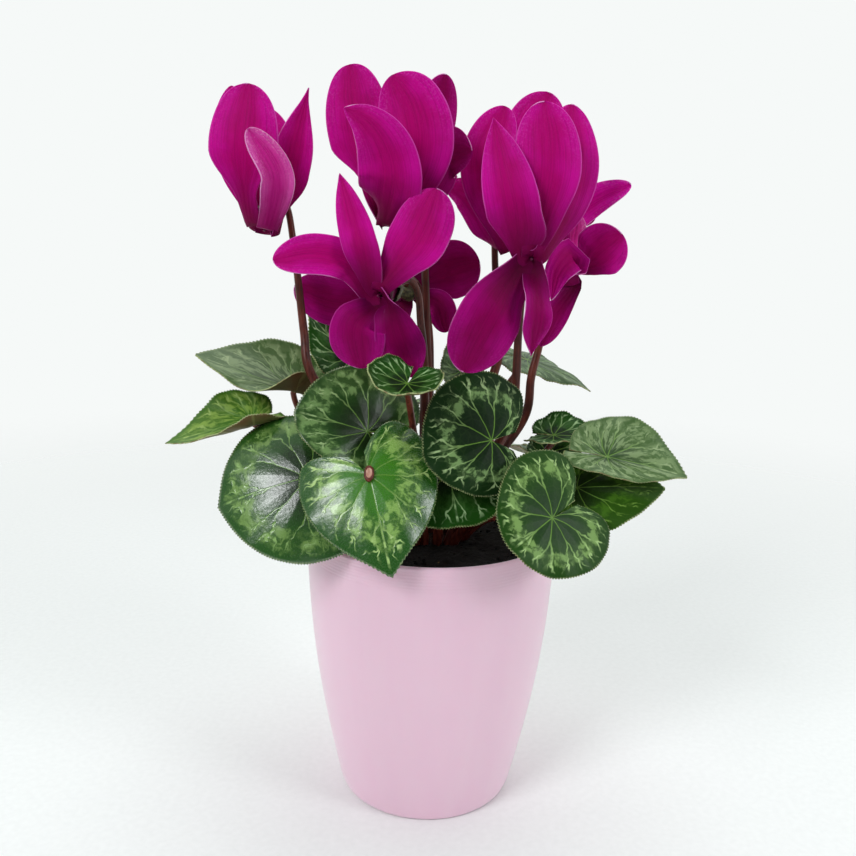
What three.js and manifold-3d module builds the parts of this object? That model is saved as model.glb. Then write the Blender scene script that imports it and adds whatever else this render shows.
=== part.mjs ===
// A potted cyclamen: a pink tapered pot filled with compost, the flat round tuber that sits in it,
// heart-shaped leaves on their red stalks, and nodding blooms with five swept-back petals.
// Millimetres, +Z up. The origin is the middle of the pot's underside, and the plant's front is -Y.

import * as THREE from "three";
import { mergeVertices } from "three/addons/utils/BufferGeometryUtils.js";
import Module from "manifold-3d";

const wasm = await Module();
wasm.setup();

// ---------- driving dimensions ----------

const POT = {
  height: 144,
  rimRadius: 65,
  baseRadius: 45.5,
  belly: 4.2, // how far the wall swells out past a straight cone, at mid height
  wall: 2.4,
  floor: 3.5,
  rimRound: 1.2,
  baseRound: 2.2,
  sides: 36,
};
const SOIL = { level: 136, mound: 2, gap: 0.5, crumb: 0.9, sides: 24 };
const TUBER = { radius: 20, height: 24, top: 140, crown: 15.5, sides: 14 };
const LEAF = { thick: 0.9, angles: 26, tooth: 0.018, sinus: 173, point: 21 };
const LEAF_STALK = { radius: 1.9, sides: 5, steps: 6 };
const PETAL = { thick: 0.9, columns: 4, footWidth: 7.8, step: 65, gap: 100, widest: 0.62 };
const TUBE = { mouth: 5.6, back: 4.2, length: 8.5, recess: 2.5, style: 0.8, sides: 8 };
const BLOOM_STALK = { radius: 2.1, sides: 5, steps: 14 };
const CALYX = { length: 4.6, gap: 0.4, thick: 1.1 };
const STALK_GAP = 1.4; // between a leaf stalk's end and the blade's underside
const HOLE_GAP = 0.4; // round a bloom stalk in its plain hole in the tuber

// Each leaf: where its stalk meets the blade, its tip, which way its upper face looks (compass
// degrees, 0 = +X and -90 = front, then degrees above level) and its full width across the lobes.
// curl turns the left and right sides up by so many degrees, and arch turns the tip.
// halves makes the left and right sides narrower, lobes makes the left and right lobes behind the
// stalk smaller, and bow pushes the middle of the leaf's stalk aside, to pass clear of what stands
// there.
const LEAVES = [
  {
    joint: [-71, -2, 218], tip: [-117, -14, 230],
    face: [-95, 74], width: 54, curl: [-20, 30], arch: 0,
    lobes: [0.35, 1],
  },
  { joint: [-91, -14, 200], tip: [-129, -26, 190], face: [-90, 60], width: 38, curl: [90, 40], arch: 0 },
  {
    joint: [-56, -46, 176], tip: [-95, -66, 170],
    face: [-95, 33], width: 74, curl: [-10, -10], arch: -15,
    lobes: [1, 0.8],
  },
  {
    joint: [-33, -30, 200], tip: [-62, -38, 214],
    face: [-80, 25], width: 58, curl: [5, -5], arch: -15,
    halves: [0.6, 1],
  },
  { joint: [-29, -58, 185], tip: [-17, -86, 149], face: [-90, 35], width: 60, curl: [-8, -8], arch: -10 },
  {
    joint: [-8, -55, 226], tip: [-16, -78, 216],
    face: [-90, 50], width: 42, curl: [60, 60], arch: 45,
    lobes: [0.8, 0.8], bow: [0, 8, 0],
  },
  {
    joint: [28, -46, 200], tip: [-2, -60, 197],
    face: [-85, 26], width: 62, curl: [-20, -5], arch: -15,
    halves: [0.8, 1], lobes: [0.85, 1], bow: [4, 8, 0],
  },
  {
    joint: [7, -36, 183], tip: [12, -58, 163],
    face: [-90, 38], width: 64, curl: [0, 0], arch: -10,
    lobes: [0.5, 0.5],
  },
  {
    joint: [53, -66, 170], tip: [37, -80, 161],
    face: [-75, 27], width: 64, curl: [-8, -20], arch: -35,
    halves: [0.92, 1],
  },
  {
    joint: [69, -34, 175], tip: [112, -34, 179],
    face: [-80, 52], width: 52, curl: [-10, -10], arch: -10,
    halves: [0.7, 0.72], lobes: [0.5, 0.85],
  },
  {
    joint: [82, -36, 191], tip: [120, -42, 186],
    face: [-90, 50], width: 50, curl: [10, 75], arch: -10,
    lobes: [0.8, 1], bow: [0, 12, 14],
  },
  { joint: [49, 30, 226], tip: [85, 24, 216], face: [-70, 80], width: 38, curl: [-10, -10], arch: -20 },
  { joint: [56, -6, 202], tip: [76, -18, 207], face: [-80, 50], width: 36, curl: [40, 40], arch: 0 },
  {
    joint: [-22, -3, 197], tip: [-19, -8, 215],
    face: [-90, 30], width: 28, curl: [0, 0], arch: 0,
    lobes: [0.7, 0.7], rootTurn: 140, bow: [0, 5, 0],
  },
  { joint: [13, 18, 222], tip: [11, 26, 243], face: [-60, 20], width: 26, curl: [20, 20], arch: 0 },
  { joint: [-46, 20, 227], tip: [-68, 26, 250], face: [-60, 40], width: 40, curl: [10, 10], arch: 0 },
  { joint: [60, 6, 182], tip: [80, 2, 190], face: [-80, 50], width: 28, curl: [0, 0], arch: 0 },
  {
    joint: [-62, 54, 168], tip: [-98, 82, 152],
    face: [130, 65], width: 56, curl: [-5, -5], arch: -15,
    lobes: [0.8, 0.8],
  },
  { joint: [-30, 62, 186], tip: [-48, 102, 170], face: [110, 60], width: 58, curl: [-8, -8], arch: -15 },
  { joint: [8, 66, 190], tip: [14, 110, 172], face: [90, 60], width: 60, curl: [-8, -8], arch: -15 },
  { joint: [42, 58, 182], tip: [68, 96, 164], face: [60, 60], width: 56, curl: [-5, -5], arch: -15 },
  { joint: [74, 34, 172], tip: [113, 54, 158], face: [30, 65], width: 54, curl: [0, 0], arch: -15 },
  { joint: [-72, 24, 176], tip: [-104, 34, 162], face: [160, 65], width: 40, curl: [5, 5], arch: -10 },
  { joint: [14, 44, 206], tip: [16, 72, 204], face: [60, 80], width: 34, curl: [20, 20], arch: -10 },
  { joint: [-24, 40, 198], tip: [-40, 66, 190], face: [120, 75], width: 42, curl: [15, 15], arch: -10 },
  { joint: [4, 90, 158], tip: [-2, 124, 142], face: [95, 60], width: 50, curl: [0, 0], arch: -15 },
];

// Each bloom: the middle of its mouth, the way the mouth looks, its five petals in order round the
// mouth (a point on the belly, the tip, the way the broad side looks there, and the width) and its
// stalk's way down to its root in the tuber.
// point says how sharp a tip is: 0.5 is round and 1 or more is drawn out.
const BLOOMS = [
  {
    mouth: [-83, -8, 290],
    look: [-0.25, -0.25, -1],
    petals: [
      { belly: [-69, -14, 326], tip: [-61, -12, 355], face: [-60, 0], width: 18, cup: 20, point: 1.1 },
      { belly: [-74, -32, 316], tip: [-85, -38, 335], face: [-70, 20], width: 15, cup: 20 },
      { belly: [-91, -24, 326], tip: [-88, -20, 357], face: [-95, 0], width: 32, cup: -20 },
      { belly: [-104, 4, 335], tip: [-103, 6, 358], face: [-150, 0], width: 22, cup: 10 },
      { belly: [-85, 10, 330], tip: [-88, 14, 350], face: [90, 0], width: 26, cup: 10 },
    ],
    stalk: [[-79, -2, 306], [-75, 1, 301], [-73, 0, 286], [-68, -3, 243], [-64, -8, 223]],
    root: [-7, 1],
  },
  {
    mouth: [-21, -6, 297],
    look: [0, -0.2, -1],
    gapTurn: -35,
    petals: [
      { belly: [0, -8, 328], tip: [14, -6, 331], face: [-60, -10], width: 28, cup: 0 },
      { belly: [-13, -22, 337], tip: [-21, -18, 365], face: [-85, 0], width: 36, cup: -20 },
      { belly: [-20, -32, 324], tip: [-42, -42, 345], face: [-85, 10], width: 28, cup: -10, point: 0.8 },
      { belly: [-42, -11, 337], tip: [-44, -9, 367], face: [-105, 0], width: 27, cup: -10 },
      { belly: [-6, 11, 343], tip: [-1, 11, 366], face: [-80, 0], width: 23, cup: 0 },
    ],
    stalk: [[-18, -5, 309], [-12, -3, 305], [-8, 1, 289], [-5, 3, 239], [-3, 3, 209]],
    root: [-1, 2],
  },
  {
    mouth: [-26, -40, 265],
    look: [-0.6, -0.72, -0.35],
    gapTurn: -60,
    petals: [
      { belly: [-19, -46, 252], tip: [-16, -38, 235], face: [-70, -10], width: 24, cup: -10 },
      { belly: [-10, -36, 292], tip: [-2, -28, 312], face: [-100, 10], width: 27, cup: -10 },
      { belly: [-35, -38, 291], tip: [-46, -28, 317], face: [-80, 10], width: 17, cup: -20, point: 0.9 },
      { belly: [-55, -46, 281], tip: [-72, -50, 280], face: [-90, 20], width: 19, cup: 10 },
      { belly: [-33, -45, 252], tip: [-31, -41, 232], face: [-100, -10], width: 24, cup: -10 },
    ],
    stalk: [[-14, -27, 271], [-10, -22, 266], [-8, -16, 250], [-6, -10, 232]],
    root: [-4, -6],
  },
  {
    mouth: [41, -40, 283],
    look: [-0.1, -0.9, -0.4],
    gapTurn: -30,
    petals: [
      { belly: [61, -22, 324], tip: [61, -10, 351], face: [-75, 10], width: 25, cup: 0 },
      { belly: [46, -44, 321], tip: [44, -32, 350], face: [-90, 5], width: 29, cup: -20 },
      { belly: [29, -44, 312], tip: [23, -38, 341], face: [-100, 10], width: 24, cup: 10, point: 1.1 },
      { belly: [23, -54, 258], tip: [12, -48, 233], face: [-85, -15], width: 30, cup: -10 },
      { belly: [44, -52, 261], tip: [43, -48, 241], face: [-60, 0], width: 14, cup: 0, point: 1.2 },
    ],
    stalk: [[42, -24, 289], [41, -20, 282], [39, -18, 250], [39, -16, 226]],
    root: [4, -6],
  },
  {
    mouth: [70, 4, 281],
    look: [0.4, 0.75, 0.35],
    gapTurn: 185,
    petals: [
      { belly: [75, 12, 276], tip: [80, 16, 269], face: [-90, 0], width: 12, cup: 0 },
      { belly: [62, -13, 255], tip: [56, -9, 239], face: [-80, 0], width: 14, cup: 0, point: 1.1 },
      { belly: [67, 3, 292], tip: [68, 3, 304], face: [-80, 0], width: 15, cup: 0 },
      { belly: [56, -22, 277], tip: [51, -30, 264], face: [-90, 10], width: 16, cup: 30, point: 1.1 },
      { belly: [79, -14, 286], tip: [92, -14, 290], face: [-100, 0], width: 25, cup: 10 },
    ],
    stalk: [[60, -9, 274], [56, -4, 265], [54, 3, 252], [53, 6, 238], [48, 2, 226]],
    root: [8, 0],
  },
  {
    mouth: [37, 18, 287],
    look: [-0.1, 0.2, -1],
    petals: [
      { belly: [46, 22, 341], tip: [53, 26, 362], face: [-90, 0], width: 34, cup: 10 },
      { belly: [69, 20, 302], tip: [77, 22, 303], face: [-80, 0], width: 15, cup: 0 },
      { belly: [76, 10, 310], tip: [93, 8, 318], face: [-70, 30], width: 14, cup: 20, point: 1.1 },
      { belly: [22, 4, 325], tip: [30, 10, 353], face: [-100, 0], width: 26, cup: 0 },
      { belly: [13, 12, 311], tip: [3, 16, 315], face: [-110, -10], width: 16, cup: 10 },
    ],
    stalk: [[33, 22, 301], [29, 23, 294], [29, 23, 280], [31, 20, 259], [33, 14, 234]],
    root: [5, 6],
  },
  {
    mouth: [-15, 24, 262],
    look: [0.1, 0.85, -0.4],
    gapTurn: 240,
    petals: [
      { belly: [-23, 18, 246], tip: [-25, 14, 230], face: [-90, 0], width: 20, cup: 0 },
      { belly: [-50, 16, 257], tip: [-73, 14, 264], face: [-90, -10], width: 27, cup: 10 },
      { belly: [-12, 30, 281], tip: [-8, 34, 299], face: [-90, 0], width: 18, cup: 0 },
      { belly: [7, 22, 274], tip: [21, 20, 278], face: [-90, 0], width: 30, cup: 0 },
      { belly: [1, 16, 256], tip: [5, 12, 243], face: [-90, 0], width: 15, cup: 0 },
    ],
    stalk: [[-12, 9, 268], [-7, 8, 260], [-4, 9, 245], [-3, 11, 227]],
    root: [-3, 9],
  },
];

// ---------- small helpers ----------

const V = (p) => new THREE.Vector3(...p);
const rad = THREE.MathUtils.degToRad;
const lerp = THREE.MathUtils.lerp;
const smooth = THREE.MathUtils.smoothstep;
const compass = ([around, above]) => {
  const level = Math.cos(rad(above));
  return V([Math.cos(rad(around)) * level, Math.sin(rad(around)) * level, Math.sin(rad(above))]);
};

function geometryOf(points, triangles) {
  const flat = points.flatMap((p) => [p.x, p.y, p.z]);
  const g = new THREE.BufferGeometry();
  g.setAttribute("position", new THREE.Float32BufferAttribute(flat, 3));
  g.setIndex(triangles.flat());
  return g;
}

// A closed geometry as a solid for cutting and joining, and back.
function solidOf(geometry) {
  const bare = geometry.clone();
  bare.deleteAttribute("normal");
  bare.deleteAttribute("uv");
  const merged = mergeVertices(bare, 1e-3);
  return new wasm.Manifold(
    new wasm.Mesh({
      numProp: 3,
      vertProperties: merged.attributes.position.array,
      triVerts: new Uint32Array(merged.index.array),
    }),
  );
}

function geometryFrom(solid) {
  const mesh = solid.getMesh();
  const g = new THREE.BufferGeometry();
  g.setAttribute("position", new THREE.BufferAttribute(mesh.vertProperties, 3));
  g.setIndex(new THREE.BufferAttribute(mesh.triVerts, 1));
  g.computeVertexNormals();
  return g;
}

const joined = (solids) => solids.reduce((a, b) => a.add(b));

// A sheet given by its middle surface becomes a closed blade of even thickness: both faces take the
// same triangles, and every edge that only one triangle has gets a side wall.
function thicken(points, triangles, thick) {
  const normals = points.map(() => new THREE.Vector3());
  const uses = new Map();
  for (const [a, b, c] of triangles) {
    const n = points[b].clone().sub(points[a]).cross(points[c].clone().sub(points[a]));
    for (const i of [a, b, c]) normals[i].add(n);
    for (const [i, j] of [[a, b], [b, c], [c, a]]) {
      const key = Math.min(i, j) + "," + Math.max(i, j);
      uses.set(key, uses.has(key) ? null : [i, j]);
    }
  }
  const count = points.length;
  for (const normal of normals) normal.normalize();
  const upper = points.map((p, i) => p.clone().addScaledVector(normals[i], thick / 2));
  const lower = points.map((p, i) => p.clone().addScaledVector(normals[i], -thick / 2));
  const faces = triangles.flatMap(([a, b, c]) => [[a, b, c], [c + count, b + count, a + count]]);
  for (const edge of uses.values()) {
    if (!edge) continue;
    const [i, j] = edge;
    faces.push([j, i, i + count], [j, i + count, j + count]);
  }
  return geometryOf([...upper, ...lower], faces);
}

// A round bar along a curve, with flat ends.
function bar(curve, radius, { sides, steps }) {
  const corners = Array.from({ length: sides }, (_, k) => {
    const turn = (2 * Math.PI * k) / sides;
    return new THREE.Vector2(Math.cos(turn) * radius, Math.sin(turn) * radius);
  });
  return new THREE.ExtrudeGeometry(new THREE.Shape(corners), { steps, extrudePath: curve, bevelEnabled: false });
}

// ---------- pot, compost and tuber ----------

const potRadius = (z) => {
  const up = z / POT.height;
  return lerp(POT.baseRadius, POT.rimRadius, up) + POT.belly * Math.sin(Math.PI * up);
};

// The closed outline of something turned on the Z axis, from [radius, height] pairs.
const turned = (outline, sides) =>
  new THREE.LatheGeometry(outline.map(([r, z]) => new THREE.Vector2(r, z)), sides).rotateX(Math.PI / 2);

function potGeometry() {
  const heights = [0.14, 0.36, 0.6, 0.82].map((share) => share * POT.height);
  const top = POT.height;
  const outer = [
    [0, 0],
    [POT.baseRadius - POT.baseRound, 0],
    [potRadius(POT.baseRound), POT.baseRound],
    ...heights.map((z) => [potRadius(z), z]),
    [POT.rimRadius, top - POT.rimRound],
    [POT.rimRadius - POT.rimRound, top],
  ];
  const inner = [
    [POT.rimRadius - POT.wall, top - POT.rimRound],
    ...heights.toReversed().map((z) => [potRadius(z) - POT.wall, z]),
    [potRadius(POT.floor) - POT.wall - 1, POT.floor],
    [0, POT.floor],
  ];
  return turned([...outer, ...inner], POT.sides);
}

const tuberRadius = (z) => {
  const middle = TUBER.top - TUBER.height / 2;
  return TUBER.radius * Math.sqrt(Math.max(0, 1 - ((z - middle) / (TUBER.height / 2)) ** 2));
};

function soilGeometry() {
  const heights = [0.2, 0.5, 0.78].map((share) => share * POT.height);
  const bottom = POT.floor + SOIL.gap;
  const middle = TUBER.top - TUBER.height / 2;
  const inset = POT.wall + SOIL.gap;
  const pit = [-0.96, -0.6, -0.1, 0.25].map((share) => {
    const z = middle + (share * TUBER.height) / 2;
    return [tuberRadius(z) + 2 * SOIL.gap, z - SOIL.gap];
  });
  const lip = SOIL.level + SOIL.mound;
  const outline = [
    [0, bottom],
    [potRadius(bottom) - inset - 1, bottom],
    ...heights.map((z) => [potRadius(z) - inset, z]),
    [potRadius(SOIL.level) - inset, SOIL.level - 1],
    [potRadius(SOIL.level) - inset - 8, SOIL.level],
    [TUBER.radius + 15, SOIL.level + SOIL.mound * 0.6],
    [TUBER.radius + 6, lip],
    [TUBER.radius + SOIL.gap + 0.6, lip - 1.5],
    ...pit.toReversed(),
    [0, TUBER.top - TUBER.height - 2 * SOIL.gap],
  ];
  const g = turned(outline, SOIL.sides);
  const at = g.attributes.position;
  for (let i = 0; i < at.count; i++) {
    const [x, y, z] = [at.getX(i), at.getY(i), at.getZ(i)];
    const out = Math.hypot(x, y);
    if (z < SOIL.level - 0.5 || out < TUBER.radius + 3) continue;
    const lump = Math.sin(x * 0.31 + 1) * Math.cos(y * 0.27) + Math.sin(x * 0.13 - y * 0.19);
    at.setZ(i, z + SOIL.crumb * lump);
  }
  return g;
}

function tuberSolid() {
  const middle = TUBER.top - TUBER.height / 2;
  const shares = [-1, -0.8, -0.4, 0.1, 0.6, 0.9];
  const outline = shares.map((share) => {
    const z = middle + (share * TUBER.height) / 2;
    return [share === -1 ? 0 : tuberRadius(z), z];
  });
  return solidOf(turned([...outline, [0, TUBER.top - 1.6]], TUBER.sides));
}

// ---------- leaves ----------

// How far the blade's edge is from the stalk, by the angle from the tip in degrees: two round
// lobes behind the stalk with a notch between them, and a point in front.
function edgeRadius(angle, length, width) {
  const across = width / 2;
  const away = Math.abs(angle);
  const body = across + (length - across) * Math.exp(-away / LEAF.point);
  return body * (1 - 0.3 * smooth(away, 140, 180));
}

// The leaf's own axes: across, towards the tip, and out of the upper face.
function leafFrame(leaf) {
  const along = V(leaf.tip).sub(V(leaf.joint));
  const length = along.length();
  along.normalize();
  const out = compass(leaf.face);
  out.addScaledVector(along, -out.dot(along)).normalize();
  const across = along.clone().cross(out);
  return { along, across, out, length };
}

// Bends a distance along a straight line into an arc that has turned by so many degrees at reach.
function arc(distance, degrees, reach) {
  const turn = rad(degrees) / reach;
  if (Math.abs(turn) < 1e-6) return [distance, 0];
  return [Math.sin(turn * distance) / turn, (1 - Math.cos(turn * distance)) / turn];
}

function leafPoint(leaf, frame, share, angle, toothed) {
  const { length, along, across, out } = frame;
  const lobe = lerp(1, (leaf.lobes ?? [1, 1])[angle < 0 ? 0 : 1], smooth(Math.abs(angle), 60, 120));
  const r = share * edgeRadius(angle, length, leaf.width) * lobe * toothed;
  const [x, y] = [r * Math.sin(rad(angle)), r * Math.cos(rad(angle))];
  const half = x < 0 ? 0 : 1;
  const [flatX, liftX] = arc(x * (leaf.halves ?? [1, 1])[half], leaf.curl[half], leaf.width / 2);
  const [flatY, liftY] = arc(y, leaf.arch, length);
  return V(leaf.joint)
    .addScaledVector(across, flatX)
    .addScaledVector(along, flatY)
    .addScaledVector(out, liftX + liftY);
}

function leafGeometry(leaf) {
  const frame = leafFrame(leaf);
  const rings = [0.52, 1];
  const points = [leafPoint(leaf, frame, 0.02, 0, 1)];
  for (const ring of rings)
    for (let i = 0; i <= LEAF.angles; i++) {
      const angle = lerp(-LEAF.sinus, LEAF.sinus, i / LEAF.angles);
      const toothed = ring === 1 ? 1 + LEAF.tooth * (i % 2 ? 1 : -1) : 1;
      points.push(leafPoint(leaf, frame, ring, angle, toothed));
    }
  const faces = [];
  const row = LEAF.angles + 1;
  for (let i = 0; i < LEAF.angles; i++) {
    faces.push([0, i + 2, i + 1]);
    faces.push([i + 1, i + 2, i + 2 + row], [i + 1, i + 2 + row, i + 1 + row]);
  }
  return thicken(points, faces, LEAF.thick);
}

// A stalk leaves the tuber's crown on the side its leaf is on, outer leaves further out.
function leafRoot(leaf) {
  const [x, y] = leaf.joint;
  const around = leaf.rootTurn === undefined ? Math.atan2(y, x) : rad(leaf.rootTurn);
  const out = TUBER.crown * lerp(0.84, 1, smooth(Math.hypot(x, y), 20, 80));
  return V([Math.cos(around) * out, Math.sin(around) * out, TUBER.top - 7]);
}

function leafStalk(leaf) {
  const frame = leafFrame(leaf);
  const root = leafRoot(leaf);
  const end = V(leaf.joint).addScaledVector(frame.out, -(LEAF.thick / 2 + STALK_GAP));
  const arrive = frame.out.clone().multiplyScalar(0.8).addScaledVector(frame.along, 0.45).normalize();
  const reach = root.distanceTo(end);
  const leaves = V([root.x * 0.02, root.y * 0.02, 1]).normalize();
  const bow = V(leaf.bow ?? [0, 0, 0]);
  const curve = new THREE.CubicBezierCurve3(
    root,
    root.clone().addScaledVector(leaves, reach * 0.4).add(bow),
    end.clone().addScaledVector(arrive, -reach * 0.3).add(bow),
    end,
  );
  return solidOf(bar(curve, LEAF_STALK.radius, LEAF_STALK));
}

// ---------- blooms ----------

// Where the five petals start round the mouth, in the order they are listed. They leave a wider
// gap on the side the stalk comes out of, or where gapTurn says.
function petalFeet(bloom) {
  const look = V(bloom.look).normalize();
  const side = new THREE.Vector3(0, 0, 1).cross(look).normalize();
  const up = look.clone().cross(side);
  const mouth = V(bloom.mouth);
  const bend = V(bloom.stalk[1]).sub(mouth);
  const free = Math.atan2(bend.dot(up), bend.dot(side));
  const gap = bloom.gapTurn === undefined ? free : rad(bloom.gapTurn);
  const feet = bloom.petals.map((petal, i) => {
    const turn = gap + rad(PETAL.gap / 2 + i * PETAL.step);
    const out = side.clone().multiplyScalar(Math.cos(turn)).addScaledVector(up, Math.sin(turn));
    return { out, around: look.clone().cross(out) };
  });
  return { look, mouth, feet };
}

// A petal's half width, from its narrow foot to its round tip.
function petalHalfWidth(t, { width, point = 0.5 }) {
  const { widest, footWidth } = PETAL;
  const foot = footWidth / 2;
  if (t < widest) return lerp(foot, width / 2, smooth(t, 0.08, widest)) - 1.2 * Math.max(0, 1 - t / 0.12);
  return (width / 2) * Math.max(0, 1 - ((t - widest) / (1 - widest)) ** 2.2) ** point;
}

function petalGeometry(petal, foot, look, mouth) {
  const start = mouth.clone().addScaledVector(look, -1.6).addScaledVector(foot.out, TUBE.mouth - 0.6);
  const fold = mouth.clone().addScaledVector(look, 2.6).addScaledVector(foot.out, TUBE.mouth + 1.6);
  const curve = new THREE.CatmullRomCurve3([start, fold, V(petal.belly), V(petal.tip)], false, "centripetal");
  const facing = compass(petal.face);
  const shares = [0, 0.14, 0.38, 0.62, 0.85, 1];
  const points = [];
  const columns = petal.width > 18 ? PETAL.columns : 2;
  shares.forEach((t) => {
    const at = curve.getPointAt(t);
    const along = curve.getTangentAt(t);
    const wanted = along.clone().cross(facing).normalize();
    if (wanted.dot(foot.around) < 0) wanted.negate();
    const side = foot.around.clone().lerp(wanted, smooth(t, 0.05, 0.45));
    side.addScaledVector(along, -side.dot(along)).normalize();
    const out = along.clone().cross(side);
    const sign = out.dot(facing) < 0 ? -1 : 1;
    const half = petalHalfWidth(t, petal);
    const cup = petal.cup * sign * smooth(t, 0.1, 0.5);
    for (let k = 0; k <= columns; k++) {
      if (t === 1 && k > 0) break;
      const across = t === 1 ? 0 : lerp(-half, half, k / columns);
      const [flat, lift] = arc(across, cup, petal.width / 2);
      points.push(at.clone().addScaledVector(side, flat).addScaledVector(out, lift));
    }
  });
  const faces = [];
  const row = columns + 1;
  for (let i = 0; i < shares.length - 2; i++)
    for (let k = 0; k < columns; k++) {
      const a = i * row + k;
      faces.push([a, a + 1, a + 1 + row], [a, a + 1 + row, a + row]);
    }
  const last = (shares.length - 2) * row;
  for (let k = 0; k < columns; k++) faces.push([last + k, last + k + 1, last + row]);
  return thicken(points, faces, PETAL.thick);
}

// Turns a lathed piece, whose axis is +Z with its mouth up, to sit at a place and look a given way.
function aimed(geometry, place, look) {
  const turn = new THREE.Quaternion().setFromUnitVectors(new THREE.Vector3(0, 0, 1), look);
  return geometry.applyMatrix4(new THREE.Matrix4().compose(place, turn, new THREE.Vector3(1, 1, 1)));
}

function bloomSolid(bloom) {
  const { look, mouth, feet } = petalFeet(bloom);
  const { length, recess, style } = TUBE;
  const tube = turned(
    [
      [0, -length],
      [TUBE.back * 0.55, -length],
      [TUBE.back, -length + 1.6],
      [TUBE.mouth, -recess],
      [TUBE.mouth, 0],
      [TUBE.mouth - 1.6, 0],
      [TUBE.mouth - 2.2, -recess],
      [style, -recess],
      [style, 2],
      [0, 2.4],
    ],
    TUBE.sides,
  );
  const petals = bloom.petals.map((petal, i) => solidOf(petalGeometry(petal, feet[i], look, mouth)));
  return joined([solidOf(aimed(tube, mouth, look)), ...petals]);
}

function bloomStalkCurve(bloom, deeper = 0) {
  const look = V(bloom.look).normalize();
  const back = V(bloom.mouth).addScaledVector(look, -(TUBE.length + CALYX.gap));
  const root = V([...bloom.root, TUBER.top - 6 - deeper]);
  const points = [
    back,
    back.clone().addScaledVector(look, -4),
    ...bloom.stalk.map(V),
    root.clone().setZ(TUBER.top + 14).addScaledVector(V([...bloom.root, 0]), 0.12),
    root,
  ];
  return new THREE.CatmullRomCurve3(points, false, "centripetal");
}

// The green-brown star of five sepals that holds the tube, fused to the stalk's top.
function bloomStalkSolid(bloom) {
  const look = V(bloom.look).normalize();
  const { thick, gap } = CALYX;
  const inner = TUBE.back + gap;
  const taper = (TUBE.mouth - TUBE.back) / (TUBE.length - 1.6 - TUBE.recess);
  const top = inner + taper * (CALYX.length - 1.6);
  const cup = turned(
    [
      [0, -TUBE.length - gap - thick],
      [TUBE.back * 0.5, -TUBE.length - gap - thick],
      [inner + thick, -TUBE.length + 1.4],
      [top + thick * 0.7, -TUBE.length + CALYX.length],
      [top + 0.1, -TUBE.length + CALYX.length],
      [inner + 0.1, -TUBE.length + 1.6],
      [TUBE.back * 0.55, -TUBE.length - gap],
      [0, -TUBE.length - gap],
    ],
    TUBE.sides,
  );
  const calyx = solidOf(aimed(cup, V(bloom.mouth), look));
  const stalk = bar(bloomStalkCurve(bloom), BLOOM_STALK.radius, BLOOM_STALK);
  return solidOf(stalk).add(calyx);
}

// ---------- the whole plant ----------

const finish = (color, roughness) =>
  new THREE.MeshStandardMaterial({ color, roughness, metalness: 0 });
const PINK_PLASTIC = finish(0xdfbed1, 0.35);
const COMPOST = finish(0x1d1410, 0.95);
const RED_STALK = finish(0x6b2a22, 0.5);
const LEAF_GREEN = finish(0x2f6b28, 0.35);
const MAGENTA = finish(0xa8046f, 0.55);

const plant = new THREE.Group();
const place = (name, geometry, material) => {
  const mesh = new THREE.Mesh(geometry, material);
  mesh.name = name;
  plant.add(mesh);
};

place("pot", potGeometry(), PINK_PLASTIC);
place("soil", soilGeometry(), COMPOST);

const stalkHoles = BLOOMS.map((bloom) =>
  solidOf(bar(bloomStalkCurve(bloom, HOLE_GAP), BLOOM_STALK.radius + HOLE_GAP, BLOOM_STALK)),
);
const tuber = stalkHoles.reduce((rest, hole) => rest.subtract(hole), tuberSolid());
place("tuber_and_leaf_stalks", geometryFrom(joined([tuber, ...LEAVES.map(leafStalk)])), RED_STALK);

LEAVES.forEach((leaf, i) => {
  place("leaf_" + String(i + 1).padStart(2, "0"), leafGeometry(leaf), LEAF_GREEN);
});
BLOOMS.forEach((bloom, i) => {
  place("bloom_" + (i + 1), geometryFrom(bloomSolid(bloom)), MAGENTA);
  place("bloom_stalk_" + (i + 1), geometryFrom(bloomStalkSolid(bloom)), RED_STALK);
});

export default plant;
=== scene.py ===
"""A potted cyclamen: a pale pink pot, compost, a corky tuber, marbled leaves and magenta flowers.

It is laid out as a Blender add-on and run as a script. Metres, +Z up, the front of the plant is -Y.
The tables below are in millimetres and degrees.
"""

import math
import random
from dataclasses import dataclass
from functools import partial

import bpy
from mathutils import Matrix, Vector, noise


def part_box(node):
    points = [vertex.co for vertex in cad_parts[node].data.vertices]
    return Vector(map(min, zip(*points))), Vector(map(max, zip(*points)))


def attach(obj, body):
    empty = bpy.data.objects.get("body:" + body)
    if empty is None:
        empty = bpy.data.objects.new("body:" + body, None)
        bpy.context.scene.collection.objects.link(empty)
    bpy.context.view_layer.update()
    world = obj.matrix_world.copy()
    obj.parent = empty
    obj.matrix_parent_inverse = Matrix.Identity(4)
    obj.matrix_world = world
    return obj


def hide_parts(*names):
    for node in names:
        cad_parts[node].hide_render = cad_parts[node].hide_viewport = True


bl_info = {
    "name": "Potted cyclamen",
    "version": (1, 0, 0),
    "blender": (4, 5, 0),
    "location": "View3D > Sidebar > Cyclamen",
    "description": "Models a potted cyclamen and the studio it stands in",
    "category": "Object",
}

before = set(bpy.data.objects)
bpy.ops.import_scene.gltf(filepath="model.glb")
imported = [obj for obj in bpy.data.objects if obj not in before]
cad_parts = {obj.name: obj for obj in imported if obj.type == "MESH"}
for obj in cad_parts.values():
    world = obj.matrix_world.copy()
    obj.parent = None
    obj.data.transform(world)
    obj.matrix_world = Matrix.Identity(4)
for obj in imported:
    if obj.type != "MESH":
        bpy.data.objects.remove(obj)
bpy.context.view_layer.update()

MM = 0.001

# ---------- the plant's sizes, in millimetres ----------

TUBER_RADIUS, TUBER_HEIGHT, TUBER_TOP, TUBER_CROWN = 20, 24, 140, 15.5
COMPOST_LEVEL, COMPOST_MOUND, COMPOST_EDGE = 136, 2, 58
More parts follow.
